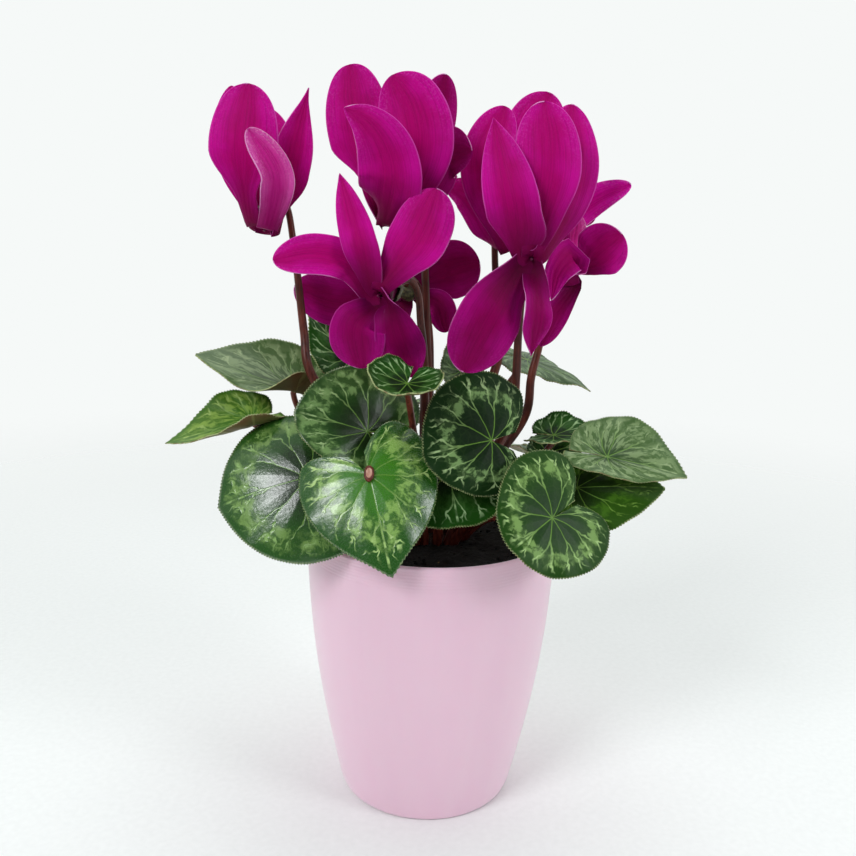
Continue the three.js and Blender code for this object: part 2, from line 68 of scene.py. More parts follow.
# Loose crumbs, and how far from the middle they lie.
CRUMBS, CRUMB_REACH = 420, 59
TUBE_MOUTH, TUBE_BACK, TUBE_LENGTH, TUBE_RECESS = 5.6, 4.2, 8.5, 2.5
CALYX_LENGTH, CALYX_GAP = 4.6, 0.4
# Degrees from petal to petal round the mouth, and between the two that the stalk comes past.
PETAL_STEP, PETAL_GAP = 65, 100
# Radians between a blade's main veins, and the share by which they lean towards its tip.
VEIN_STEP, VEIN_LEAN = 0.74, 0.24
# How far the skin swells between the veins, and how deep the midrib lies.
QUILT, RIB_DEPTH = 0.9, 0.5
# Teeth round a blade for each mm of its width.
TEETH = 2.2
# Millimetres in one unit of a blade's Flat map.
FLAT_UNIT = 100
# Rows of faces from a blade's stalk to its edge, and across and along a petal.
BLADE_ROWS, PETAL_GRID = 12, (28, 44)
# Points along a leaf stalk and a flower stalk.
LEAF_STALK_STEPS, BLOOM_STALK_STEPS = 28, 60


@dataclass
class Leaf:
    """One leaf. A face is compass degrees, -90 = front, then degrees above level.

    Pairs are for the left and the right side.
    """

    joint: tuple  # where its stalk meets the blade
    tip: tuple
    face: tuple  # the way its upper side looks
    width: float
    curl: tuple = (0, 0)  # how far the sides curl up
    arch: float = 0  # how far the tip arches up
    halves: tuple = (1, 1)  # narrows the sides
    lobes: tuple = (1, 1)  # shortens the lobes behind the stalk
    sinus: tuple = (173, 173)  # where the lobes end
    dent: float = 0.3  # how far they are drawn in there
    blunt: float = 21  # rounds the tip
    shift: tuple = (0, 0)  # moves the outline off the stalk
    flap: tuple = (0, 0)  # turns a lobe up
    bow: tuple = (0, 0, 0)  # pushes the stalk aside
    root_turn: float = None  # where the stalk starts round the crown, if not straight below
    stalk_end: bool = False  # whether the end of a stalk shows between its lobes
    skin: str = "dark"


LEAVES = [
    Leaf((-71, -2, 213), (-118, -14, 231), (-95, 74), 57, curl=(-20, 42), halves=(0.54, 1), blunt=42,
         flap=(1, 0), skin="streaked"),
    Leaf((-91, -14, 200), (-130, -26, 190), (-90, 60), 42, curl=(90, 40), lobes=(1, 0.75), skin="young"),
    Leaf((-59, -46, 180), (-103, -54, 170), (-93, 33), 79, curl=(-24, -24), arch=-30, lobes=(1, 0.8),
         skin="glossy"),
    Leaf((-32, -34, 200), (-64, -44, 212), (-80, 25), 63, curl=(5, -5), arch=-15, halves=(0.65, 1),
         blunt=60, skin="silver"),
    Leaf((-29, -58, 185), (-17, -86, 149), (-90, 35), 62, curl=(-24, -24), arch=-24, halves=(1, 1.07),
         lobes=(1.05, 1.03), sinus=(180, 150), dent=0.6, stalk_end=True, skin="fresh"),
    Leaf((-13, -55, 227), (-21, -78, 218), (-90, 50), 41, curl=(60, 60), arch=45, lobes=(0.8, 0.8),
         bow=(0, 8, 0)),
    Leaf((26, -46, 200), (-4, -60, 197), (-85, 26), 64, curl=(-20, -5), arch=-15, halves=(0.8, 1.08),
         lobes=(0.95, 1), sinus=(140, 173), dent=0.58, bow=(4, 8, 0), skin="spotted"),
    Leaf((7, -36, 183), (12, -58, 163), (-90, 38), 64, arch=-10, lobes=(0.5, 0.5)),
    Leaf((53, -66, 170), (33, -83, 159), (-75, 27), 57, curl=(-8, -12), arch=-12, lobes=(1.07, 1.12),
         sinus=(168, 183), dent=0.58, blunt=20, shift=(0, -3), skin="ringed"),
    Leaf((69, -34, 175), (112, -34, 179), (-80, 52), 54, curl=(-10, -10), arch=-10, halves=(0.7, 0.9),
         lobes=(0.5, 0.85), blunt=30, skin="plain"),
    Leaf((82, -36, 191), (120, -42, 186), (-90, 50), 53, curl=(10, 20), arch=-10, halves=(1, 0.45),
         lobes=(0.8, 0.9), sinus=(177, 177), dent=0.15, blunt=28, bow=(0, 18, 7), skin="streaked"),
    Leaf((49, 30, 227), (85, 24, 217.5), (-70, 80), 38, curl=(-10, -10), arch=-20, skin="grey"),
    Leaf((60, -10, 195), (82, -19, 197), (-80, 70), 33, curl=(35, 35)),
    Leaf((-22, -3, 197), (-19, -8, 215), (-90, 30), 28, lobes=(0.7, 0.7), bow=(0, 5, 0), root_turn=140,
         skin="silver"),
    Leaf((13, 18, 222), (11, 26, 243), (-60, 20), 26, curl=(20, 20), skin="grey"),
    Leaf((-46, 20, 227), (-68, 26, 250), (-60, 40), 40, curl=(10, 10)),
    Leaf((60, 6, 182), (80, 2, 190), (-80, 50), 28),
    Leaf((-62, 54, 168), (-98, 82, 152), (130, 65), 56, curl=(-5, -5), arch=-15, lobes=(0.8, 0.8),
         skin="ringed"),
    Leaf((-30, 62, 186), (-48, 102, 170), (110, 60), 58, curl=(-8, -8), arch=-15, skin="spotted"),
    Leaf((8, 66, 189), (14, 110, 177), (90, 60), 60, curl=(-8, -8), arch=-15, skin="silver"),
    Leaf((42, 58, 174), (68, 96, 163), (60, 60), 56, curl=(-5, -5), arch=-15, lobes=(0.55, 0.55),
         skin="fresh"),
    Leaf((74, 34, 172), (113, 54, 158), (30, 65), 54, arch=-15, skin="ringed"),
    Leaf((-72, 24, 176), (-104, 34, 162), (160, 65), 40, curl=(5, 5), arch=-10),
    Leaf((14, 44, 206), (16, 72, 204), (60, 80), 34, curl=(20, 20), arch=-10, skin="grey"),
    Leaf((-24, 40, 198), (-40, 66, 190), (120, 75), 42, curl=(15, 15), arch=-10, skin="spotted"),
    Leaf((4, 90, 158), (-2, 124, 142), (95, 60), 50, arch=-15),
]


@dataclass
class Petal:
    """One petal. It runs from its foot by way of low, belly and bend to its tip."""

    belly: tuple
    tip: tuple
    face: tuple  # the way its broad side looks, as for a leaf
    width: float
    cup: float = 0  # how far its sides turn in
    point: float = 0.5  # how drawn out the tip is
    widest: float = 0.62  # where it is widest, as a share of its length
    foot: float = 8.8  # how wide it starts
    neck: float = 0.08  # where it starts to widen, as a share of its length
    low: tuple = ()
    bend: tuple = ()
    skin: str = "deep"


@dataclass
class Bloom:
    """One flower. Its petals stand in order round its mouth."""

    mouth: tuple
    look: tuple  # the way the mouth looks
    root: tuple  # where its stalk stands in the tuber
    stalk: list  # further points on the stalk's way down
    petals: list
    gap_turn: float = None  # where the stalk comes past the mouth, if not straight above
    cover: float = 0  # draws the petals' feet together over the mouth


# Petals turned up wear a lighter copy of the velvet, and those that hang low or face away wear a darker
# one: painted light and painted shade, not colours of their own.
BLOOMS = [
    Bloom(
        mouth=(-83.5, -8, 293.5), look=(-0.25, -0.25, -1), root=(-7, 1),
        stalk=[(-79, -2, 309), (-75, 1, 304), (-71.5, 0, 287), (-66, -3, 243), (-62, -8, 223)],
        petals=[
            Petal((-70, -14, 325), (-62, -12, 356), (-60, 0), 20, cup=20, point=1.5, widest=0.5, foot=10.5,
                  neck=0.2),
            Petal((-74, -32, 316), (-85, -38, 335), (-70, 20), 16, cup=20, foot=10, neck=0.1, skin="pale"),
            Petal((-91, -24, 327), (-88, -20, 356), (-95, 0), 33, cup=-20, foot=10.5, neck=0.27),
            Petal((-102, 4, 335), (-101.5, 6, 358.5), (-118, 0), 19, cup=10, neck=0.25),
            Petal((-85, 10, 330), (-88, 14, 350), (90, 0), 26, cup=10, neck=0.2),
        ],
    ),
    Bloom(
        mouth=(-21, -6, 297), look=(0, -0.2, -1), root=(-1, 2), gap_turn=-35,
        stalk=[(-18, -5, 309), (-12, -3, 305), (-8, 1, 289), (-5, 3, 239), (-3, 3, 209)],
        petals=[
            Petal((0, -8, 328), (14, -6, 331), (-60, -10), 28, skin="dusky"),
            Petal((-12, -22, 333.5), (-23.5, -18, 361.5), (-85, 0), 36, cup=-20, neck=0,
                  bend=[(-15.5, -20, 349)]),
            Petal((-23, -32, 316), (-42.5, -43, 344), (-85, 10), 29, cup=-10, point=0.8, widest=0.44,
                  neck=0, bend=[(-24.4, -34, 325), (-28.3, -37, 333), (-34.5, -40, 339.5)], skin="lit"),
            Petal((-38.5, -10, 336), (-43.5, -9, 367), (-105, 0), 32, cup=-10, point=0.42, neck=0.36),
            Petal((-5, 11, 344), (1, 11, 367), (-80, 0), 23, skin="dusky"),
        ],
    ),
    Bloom(
        mouth=(-26, -40, 265), look=(-0.6, -0.72, -0.35), root=(-4, -6), gap_turn=-60, cover=0.9,
        stalk=[(-14, -27, 271), (-10, -22, 266), (-8, -16, 250), (-6, -10, 232)],
        petals=[
            Petal((-18.5, -46, 248), (-9.8, -36, 226.5), (-80, -10), 22, cup=-10, point=1.0, neck=0,
                  skin="dusky"),
            Petal((-10, -36, 291), (-2, -28, 312), (-100, 10), 28, cup=-10, neck=0.05),
            Petal((-38.5, -40, 296.5), (-46, -28, 317.5), (-80, 10), 16, cup=-20, point=1.0, widest=0.44,
                  neck=0, low=[(-34.5, -46, 284.5)], skin="lit"),
            Petal((-53.5, -44, 282), (-73, -48, 279), (-90, 20), 19, cup=10, neck=0,
                  low=[(-40.5, -41, 278)], skin="lit"),
            Petal((-36, -46, 251), (-34, -42, 231.5), (-100, -10), 26, cup=-10, neck=0, skin="dusky"),
        ],
    ),
    Bloom(
        mouth=(41, -40, 283), look=(-0.1, -0.9, -0.4), root=(4, -6), gap_turn=-30, cover=1.0,
        stalk=[(42, -24, 289), (41, -20, 282), (39, -18, 250), (39, -16, 226), (38, -13, 206),
               (30, -10, 186)],
        petals=[
            Petal((60, -22, 323), (59, -10, 352), (-75, 10), 25, neck=0, skin="lit"),
            Petal((46, -44, 321), (44, -32, 350), (-90, 5), 30, cup=-20, neck=0, skin="lit"),
            Petal((26, -46, 323.5), (21.8, -38, 342), (-100, 10), 24, cup=10, point=1.05, widest=0.4,
                  neck=0, low=[(30.5, -50, 306)]),
            Petal((24, -54, 259), (12, -48, 232), (-85, -15), 30, cup=-10, foot=11, neck=0, skin="dusky"),
            Petal((44, -52, 261), (42, -48, 240), (-60, 0), 15, point=1.2, neck=0, skin="dusky"),
        ],
    ),
    Bloom(
        mouth=(62.8, -8, 275.7), look=(0.5, -0.8, -0.3), root=(8, 0), gap_turn=-15,
        stalk=[(56.5, 4.5, 278), (54.5, 4.5, 270), (54, 4, 255), (52, 5, 238), (48.5, 3, 222), (47, 3, 204),
               (35, 2, 184)],
        petals=[
            Petal((77.8, -12, 287.0), (85.9, -14, 294.2), (-100, 10), 26, cup=10, widest=0.56, neck=0.12),
            Petal((66, 3, 291), (67, 3, 303), (-80, 0), 13, skin="pale"),
            Petal((58, -2, 288), (60, 0, 299), (-80, 0), 12, skin="dusky"),
            Petal((56, -21, 276.5), (53.3, -22, 263), (-90, 10), 17, cup=10, point=0.9, widest=0.36,
                  foot=12, neck=0, low=[(63, -15, 283.5)]),
            Petal((58.5, -8, 256.5), (51.5, -6, 239), (-80, 0), 13, point=0.8, skin="dusky"),
        ],
    ),
    Bloom(
        mouth=(37, 18, 287), look=(-0.1, 0.2, -1), root=(5, 6),
        stalk=[(33, 22, 301), (29, 23, 294), (29, 23, 280), (31, 20, 259), (33, 14, 234)],
        petals=[
            Petal((46, 22, 341), (53, 26, 362), (-90, 0), 34, cup=10),
            Petal((69, 20, 302), (79, 22, 302), (-80, 0), 15, skin="dusky"),
            Petal((76, 10, 310), (93, 8, 318), (-70, 30), 16, cup=20, point=0.55, foot=12, neck=0,
                  skin="bright"),
            Petal((22, 4, 325), (30, 10, 353), (-100, 0), 26),
            Petal((13, 12, 311), (3, 16, 315), (-110, -10), 16, cup=10, foot=11, skin="bright"),
        ],
    ),
    Bloom(
        mouth=(-15, 24, 262), look=(0.1, 0.85, -0.4), root=(-3, 9), gap_turn=240,
        stalk=[(-12, 9, 268), (-7, 8, 260), (-4, 9, 245), (-3, 11, 227)],
        petals=[
            Petal((-23, 18, 246), (-25, 14, 230), (-90, 0), 20, skin="dusky"),
            Petal((-50, 16, 257), (-73, 14, 264), (-90, -10), 27, cup=10, skin="dusky"),
            Petal((-12, 30, 281), (-8, 34, 299), (-90, 0), 18, skin="dusky"),
            Petal((7, 22, 274), (21, 20, 278), (-90, 0), 30, skin="dusky"),
            Petal((1, 16, 256), (5, 12, 243), (-90, 0), 15, skin="dusky"),
        ],
    ),
]

# Leaf skins: the green of the middle, the green of the rest, the marbled patches, the veins near the
# edge, how strong the marbling is, where its ring lies (middle and half width as shares of the way to
# the edge), how far the marbling runs in streaks away from the stalk, how rough the wax is and how
# much it shines.
SKINS = {
    "grey": ("22371E", "35522A", "6F8A60", "849F70", 0.6, (0.6, 0.4), 1.0, 0.45, 0.3),
    "streaked": ("26431A", "3F602B", "839C6A", "97AE7C", 0.85, (0.6, 0.42), 1.0, 0.38, 0.4),
    "young": ("2F6A12", "42701A", "8DAF4C", "9CBA62", 0.9, (0.55, 0.4), 0.7, 0.4, 0.35),
    "fresh": ("3E801C", "225614", "92BC60", "B0D280", 0.85, (0.6, 0.19), 0.35, 0.26, 0.9),
    "glossy": ("12280F", "245415", "7BA052", "8BB264", 0.85, (0.76, 0.15), 0.25, 0.24, 0.95),
    "silver": ("12260C", "224A16", "80A662", "A6C686", 0.9, (0.78, 0.2), 0.4, 0.32, 0.5),
    "dark": ("0C200A", "1A480C", "487634", "A2C68E", 0.35, (0.6, 0.2), 0.5, 0.42, 0.12),
    "plain": ("152C07", "2A500B", "4A781E", "6A923A", 0.6, (0.6, 0.14), 0.3, 0.42, 0.15),
    "spotted": ("0E220D", "153011", "78995F", "A0BC84", 1.0, (0.66, 0.11), 0.2, 0.42, 0.1),
    "ringed": ("15360F", "20460D", "7A9E56", "A6C880", 1.0, (0.7, 0.12), 0.3, 0.4, 0.2),
}


# ---------- lines and sheets ----------


def V(point):
    return Vector(point)


def between(low, high, share):
    return low + (high - low) * share


def smooth(value, low, high):
    share = min(1.0, max(0.0, (value - low) / (high - low)))
    return share * share * (3 - 2 * share)


def compass(face):
    around, above = (math.radians(angle) for angle in face)
    return V((math.cos(around) * math.cos(above), math.sin(around) * math.cos(above), math.sin(above)))


def arc(distance, degrees, reach):
    """Bends a distance along a straight line into an arc that has turned by so much at reach."""
    turn = math.radians(degrees) / reach
    if abs(turn) < 1e-6:
        return distance, 0.0
    return math.sin(turn * distance) / turn, (1 - math.cos(turn * distance)) / turn


class Line:
    """A smooth line through points, read by the share of its own length."""

    def __init__(self, points, fine=160):
        self.spots = [self.through(points, i / fine) for i in range(fine + 1)]
        self.gone = [0.0]
        for a, b in zip(self.spots, self.spots[1:]):
            self.gone.append(self.gone[-1] + (b - a).length)

    @staticmethod
    def through(points, share):
        last = len(points) - 1
        place = share * last
        i = min(int(place), last - 1)
        t = place - i
        p1, p2 = points[i], points[i + 1]
        p0 = points[i - 1] if i > 0 else p1 * 2 - p2
        p3 = points[i + 2] if i + 2 <= last else p2 * 2 - p1
        d0, d1, d2 = ((b - a).length ** 0.5 for a, b in ((p0, p1), (p1, p2), (p2, p3)))
        m1 = ((p1 - p0) / d0 - (p2 - p0) / (d0 + d1) + (p2 - p1) / d1) * d1
        m2 = ((p2 - p1) / d1 - (p3 - p1) / (d1 + d2) + (p3 - p2) / d2) * d1
        return p1 + m1 * t + (p1 * -3 + p2 * 3 - m1 * 2 - m2) * t**2 + (p1 * 2 - p2 * 2 + m1 + m2) * t**3

    def at(self, share):
        """The point, and the way the line runs there."""
        wanted = share * self.gone[-1]
        i = 0
        while i < len(self.gone) - 2 and self.gone[i + 1] < wanted:
            i += 1
        a, b = self.spots[i], self.spots[i + 1]
        part = (wanted - self.gone[i]) / max(1e-9, self.gone[i + 1] - self.gone[i])
        return a.lerp(b, part), (b - a).normalized()


def bezier(p0, p1, p2, p3, t):
    s = 1 - t
    return p0 * s**3 + p1 * 3 * s * s * t + p2 * 3 * s * t * t + p3 * t**3


def put_down():
    if bpy.context.mode != "OBJECT":
        bpy.ops.object.mode_set(mode="OBJECT")
    bpy.ops.object.select_all(action="DESELECT")


def finish_modifier(kind, **settings):
    bpy.ops.object.modifier_add(type=kind)
    modifier = bpy.context.object.modifiers[-1]
    for key, value in settings.items():
        setattr(modifier, key, value)
    bpy.ops.object.modifier_apply(modifier=modifier.name)


def thicken(thickness):
    """Gives a sheet its thickness. Its materials are for its face, its back and its edge."""
    finish_modifier("SOLIDIFY", thickness=thickness, offset=0.0, material_offset=1, material_offset_rim=2)


def close_seams(distance):
    bpy.ops.object.mode_set(mode="EDIT")
    bpy.ops.mesh.select_all(action="SELECT")
    bpy.ops.mesh.remove_doubles(threshold=distance)
    bpy.ops.object.mode_set(mode="OBJECT")


def sheet(name, columns, rows, place, maps=None):
    """A grid whose corners are moved to where place(across, along) says, in millimetres.

    maps names further maps, each with a function that gives the corner's place in it, so that a
    pattern can be drawn to size.
    """
    put_down()
    bpy.ops.mesh.primitive_grid_add(x_subdivisions=columns, y_subdivisions=rows, size=1)
    piece = bpy.context.object
    piece.name = piece.data.name = name
    mesh = piece.data
    shares = [(v.co.x + 0.5, v.co.y + 0.5) for v in mesh.vertices]
    for vertex, (across, along) in zip(mesh.vertices, shares):
        vertex.co = place(across, along) * MM
    for label, where in (maps or {}).items():
        spots = [where(*share) for share in shares]
        layer = mesh.uv_layers.new(name=label)
        for loop in mesh.loops:
            layer.data[loop.index].uv = spots[loop.vertex_index]
    close_seams(2e-5)
    bpy.ops.object.shade_smooth()
    return piece


def turned(name, outline, sides):
    """A body turned on the Z axis: a disc, then its edge drawn from ring to ring of (radius, height)."""
    put_down()
    (radius, height), *rings = outline
    bpy.ops.mesh.primitive_circle_add(
        vertices=sides, radius=radius * MM, fill_type="TRIFAN", location=(0, 0, height * MM)
    )
    piece = bpy.context.object
    piece.name = piece.data.name = name
    bpy.ops.object.transform_apply(location=True, rotation=False, scale=False)
    bpy.ops.object.mode_set(mode="EDIT")
    bpy.ops.mesh.select_all(action="SELECT")
    bpy.ops.mesh.region_to_loop()
    for ring, rise in rings:
        bpy.ops.mesh.extrude_edges_move(TRANSFORM_OT_translate={"value": (0, 0, (rise - height) * MM)})
        if ring == 0:
            bpy.ops.mesh.merge(type="CENTER")
            break
        if ring != radius:
            grow = ring / radius
            bpy.ops.transform.resize(value=(grow, grow, 1), center_override=(0, 0, rise * MM))
        radius, height = ring, rise
    bpy.ops.mesh.select_all(action="SELECT")
    bpy.ops.mesh.normals_make_consistent(inside=False)
    bpy.ops.object.mode_set(mode="OBJECT")
    bpy.ops.object.shade_smooth()
    return piece


def rod(name, points, radii, sides=12):
    """A round stalk along points, with its own radius at each, in millimetres."""
    put_down()
    bpy.ops.curve.primitive_bezier_curve_add(location=(0, 0, 0))
    piece = bpy.context.object
    piece.name = piece.data.name = name
    curve = piece.data
    curve.splines.clear()
    spline = curve.splines.new("POLY")
    spline.points.add(len(points) - 1)
    for spot, point, radius in zip(spline.points, points, radii):
        spot.co = (*(point * MM), 1)
        spot.radius = radius
    curve.dimensions = "3D"
    curve.bevel_depth = MM
    curve.bevel_resolution = max(0, sides // 4 - 1)
    curve.use_fill_caps = True
    bpy.ops.object.convert(target="MESH")
    bpy.ops.object.shade_smooth()
    return bpy.context.object


def join(name, pieces):
    put_down()
    for piece in pieces:
        piece.select_set(True)
    bpy.context.view_layer.objects.active = pieces[0]
    if len(pieces) > 1:
        bpy.ops.object.join()
    whole = bpy.context.object
    whole.name = whole.data.name = name
    return whole


def hand_over(piece, slot, *nodes):
    """Says what a finished piece rides on and stands for. Its slot is not used."""
    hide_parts(*nodes)
    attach(piece, "root")


def dress(piece, *materials):
    piece.data.materials.clear()
    for material in materials:
        piece.data.materials.append(material)


# ---------- materials ----------

# Settings of Map Range nodes that ease in and out, and of Mix nodes that take colours.
SOFT, COLOURS = {"interpolation_type": "SMOOTHSTEP"}, {"data_type": "RGBA"}


def colour(code):
    """An sRGB hex colour as the linear red, green, blue and alpha that Blender takes."""
    parts = [int(code[i : i + 2], 16) / 255 for i in (0, 2, 4)]
    return (*(c / 12.92 if c <= 0.04045 else ((c + 0.055) / 1.055) ** 2.4 for c in parts), 1.0)


def material(name):
    """An empty material, its Principled shader and the function that adds nodes to it."""
    made = bpy.data.materials.new(name)
    made.use_nodes = True
    return made, made.node_tree.nodes["Principled BSDF"], partial(add_node, made.node_tree)


def add_node(tree, kind, sockets=None, operation=None, **settings):
    """Adds a node with its settings and links."""
    node = tree.nodes.new("ShaderNode" + kind)
    if operation:
        node.operation = operation
    for key, value in settings.items():
        setattr(node, key, value)
    join_up(node, sockets or {})
    return node


def join_up(node, sockets):
    """Fills sockets, each with a value, a hex colour, or a node or output to link from."""
    for key, value in sockets.items():
        socket = node.inputs[key]
        if isinstance(value, bpy.types.Node):
            value = next(output for output in value.outputs if output.enabled)
        if isinstance(value, bpy.types.NodeSocket):
            node.id_data.links.new(value, socket)
        else:
            socket.default_value = colour(value) if isinstance(value, str) else value


def moulded_polypropylene(tint, light):
    """Injection-moulded polypropylene: satin, a soft sheen and faint flow marks down the wall."""
    made, shader, add = material("moulded_polypropylene_pale_pink")
    place = add("TexCoord").outputs["Object"]
    # Flow marks run up the wall: about 9 mm wide and much longer.
    flow = add("Mapping", {"Vector": place, "Scale": (110, 110, 9)})
    marks = add("TexNoise", {"Vector": flow, "Scale": 1.0, "Detail": 1.0, "Roughness": 0.5})
    # The moulding's own fine grain, about 0.7 mm.
    grain = add("TexNoise", {"Vector": place, "Scale": 1400.0, "Detail": 2.0})
    tone = add("MapRange", {0: marks, 1: 0.2, 2: 0.8})
    rough = add("MapRange", {0: marks, 1: 0.3, 2: 0.7, 3: 0.3, 4: 0.36})
    bump = add("Bump", {"Height": grain, "Strength": 0.06, "Distance": 0.0002})
    join_up(shader, {
        "Base Color": add("Mix", {0: tone, 6: tint, 7: light}, **COLOURS),
        "Roughness": rough,
        "Normal": bump,
        "IOR": 1.49,
        "Subsurface Weight": 0.25,
        "Subsurface Radius": (1.0, 0.6, 0.7),
        "Subsurface Scale": 0.004,
        "Sheen Weight": 0.6,
        "Sheen Roughness": 0.4,
        "Sheen Tint": "FFF4FA",
    })
    return made


def potting_compost():
    """Composted bark and peat: nearly black and quite matt, with brown fibres and rare pale bits."""
    made, shader, add = material("damp_potting_compost")
    place = add("TexCoord").outputs["Object"]
    # Crumbs of about 2.5 mm and fibres of about 0.8 mm.
    crumbs = add("TexVoronoi", {"Vector": place, "Scale": 400.0})
    fibres = add("TexNoise", {"Vector": place, "Scale": 1200.0, "Detail": 4.0})
    bits = add("TexVoronoi", {"Vector": place, "Scale": 260.0})
    brown = add("MapRange", {0: fibres, 1: 0.55, 2: 0.75, 3: 0.0, 4: 0.8})
    pale = add("Math", {0: bits.outputs["Distance"], 1: 0.16}, "LESS_THAN")
    rare = add("Math", {0: add("SeparateColor", {0: bits.outputs["Color"]}), 1: 0.93}, "GREATER_THAN")
    speck = add("Math", {0: pale, 1: rare}, "MULTIPLY")
    dark = add("Mix", {0: brown, 6: "070504", 7: "241810"}, **COLOURS)
    height = add("Math", {0: crumbs.outputs["Distance"], 1: fibres}, "ADD")
    join_up(shader, {
        "Base Color": add("Mix", {0: speck, 6: dark, 7: "8A6A3A"}, **COLOURS),
        "Roughness": 0.92,
        "Normal": add("Bump", {"Height": height, "Strength": 0.8, "Distance": 0.001}),
    })
    return made


def corky_skin():
    """The tuber's corky skin: dark brown, dull and cracked."""
    made, shader, add = material("corky_tuber_skin")
    place = add("TexCoord").outputs["Object"]
    # Cracks about 4 mm apart.
    cracks = add("TexVoronoi", {"Vector": place, "Scale": 250.0}, feature="DISTANCE_TO_EDGE")
    dirt = add("TexNoise", {"Vector": place, "Scale": 300.0, "Detail": 5.0})
    open_crack = add("MapRange", {0: cracks, 1: 0.0, 2: 0.12})
    skin = add("Mix", {0: dirt, 6: "2A1A12", 7: "4A3022"}, **COLOURS)
    join_up(shader, {
        "Base Color": add("Mix", {0: open_crack, 6: "140C09", 7: skin}, **COLOURS),
        "Roughness": 0.85,
        "Normal": add("Bump", {"Height": open_crack, "Strength": 0.7, "Distance": 0.0006}),
    })
    return made


def stalk_skin(name, dark, light):
    """A smooth, waxy stalk: red-brown with finer streaks along it and a soft shine."""
    made, shader, add = material(name)
    place = add("TexCoord").outputs["Object"]
    # Streaks about 1.1 mm wide and 17 mm long.
    along = add("Mapping", {"Vector": place, "Scale": (900, 900, 60)})
    streaks = add("TexNoise", {"Vector": along, "Scale": 1.0, "Detail": 3.0, "Roughness": 0.6})
    patches = add("TexNoise", {"Vector": place, "Scale": 70.0, "Detail": 2.0})
    both = add("Math", {0: streaks, 1: patches}, "MULTIPLY")
    tone = add("MapRange", {0: both, 1: 0.16, 2: 0.36})
    join_up(shader, {
        "Base Color": add("Mix", {0: tone, 6: dark, 7: light}, **COLOURS),
        "Roughness": 0.38,
        "IOR": 1.42,
        "Normal": add("Bump", {"Height": streaks, "Strength": 0.25, "Distance": 0.0003}),
    })
    return made


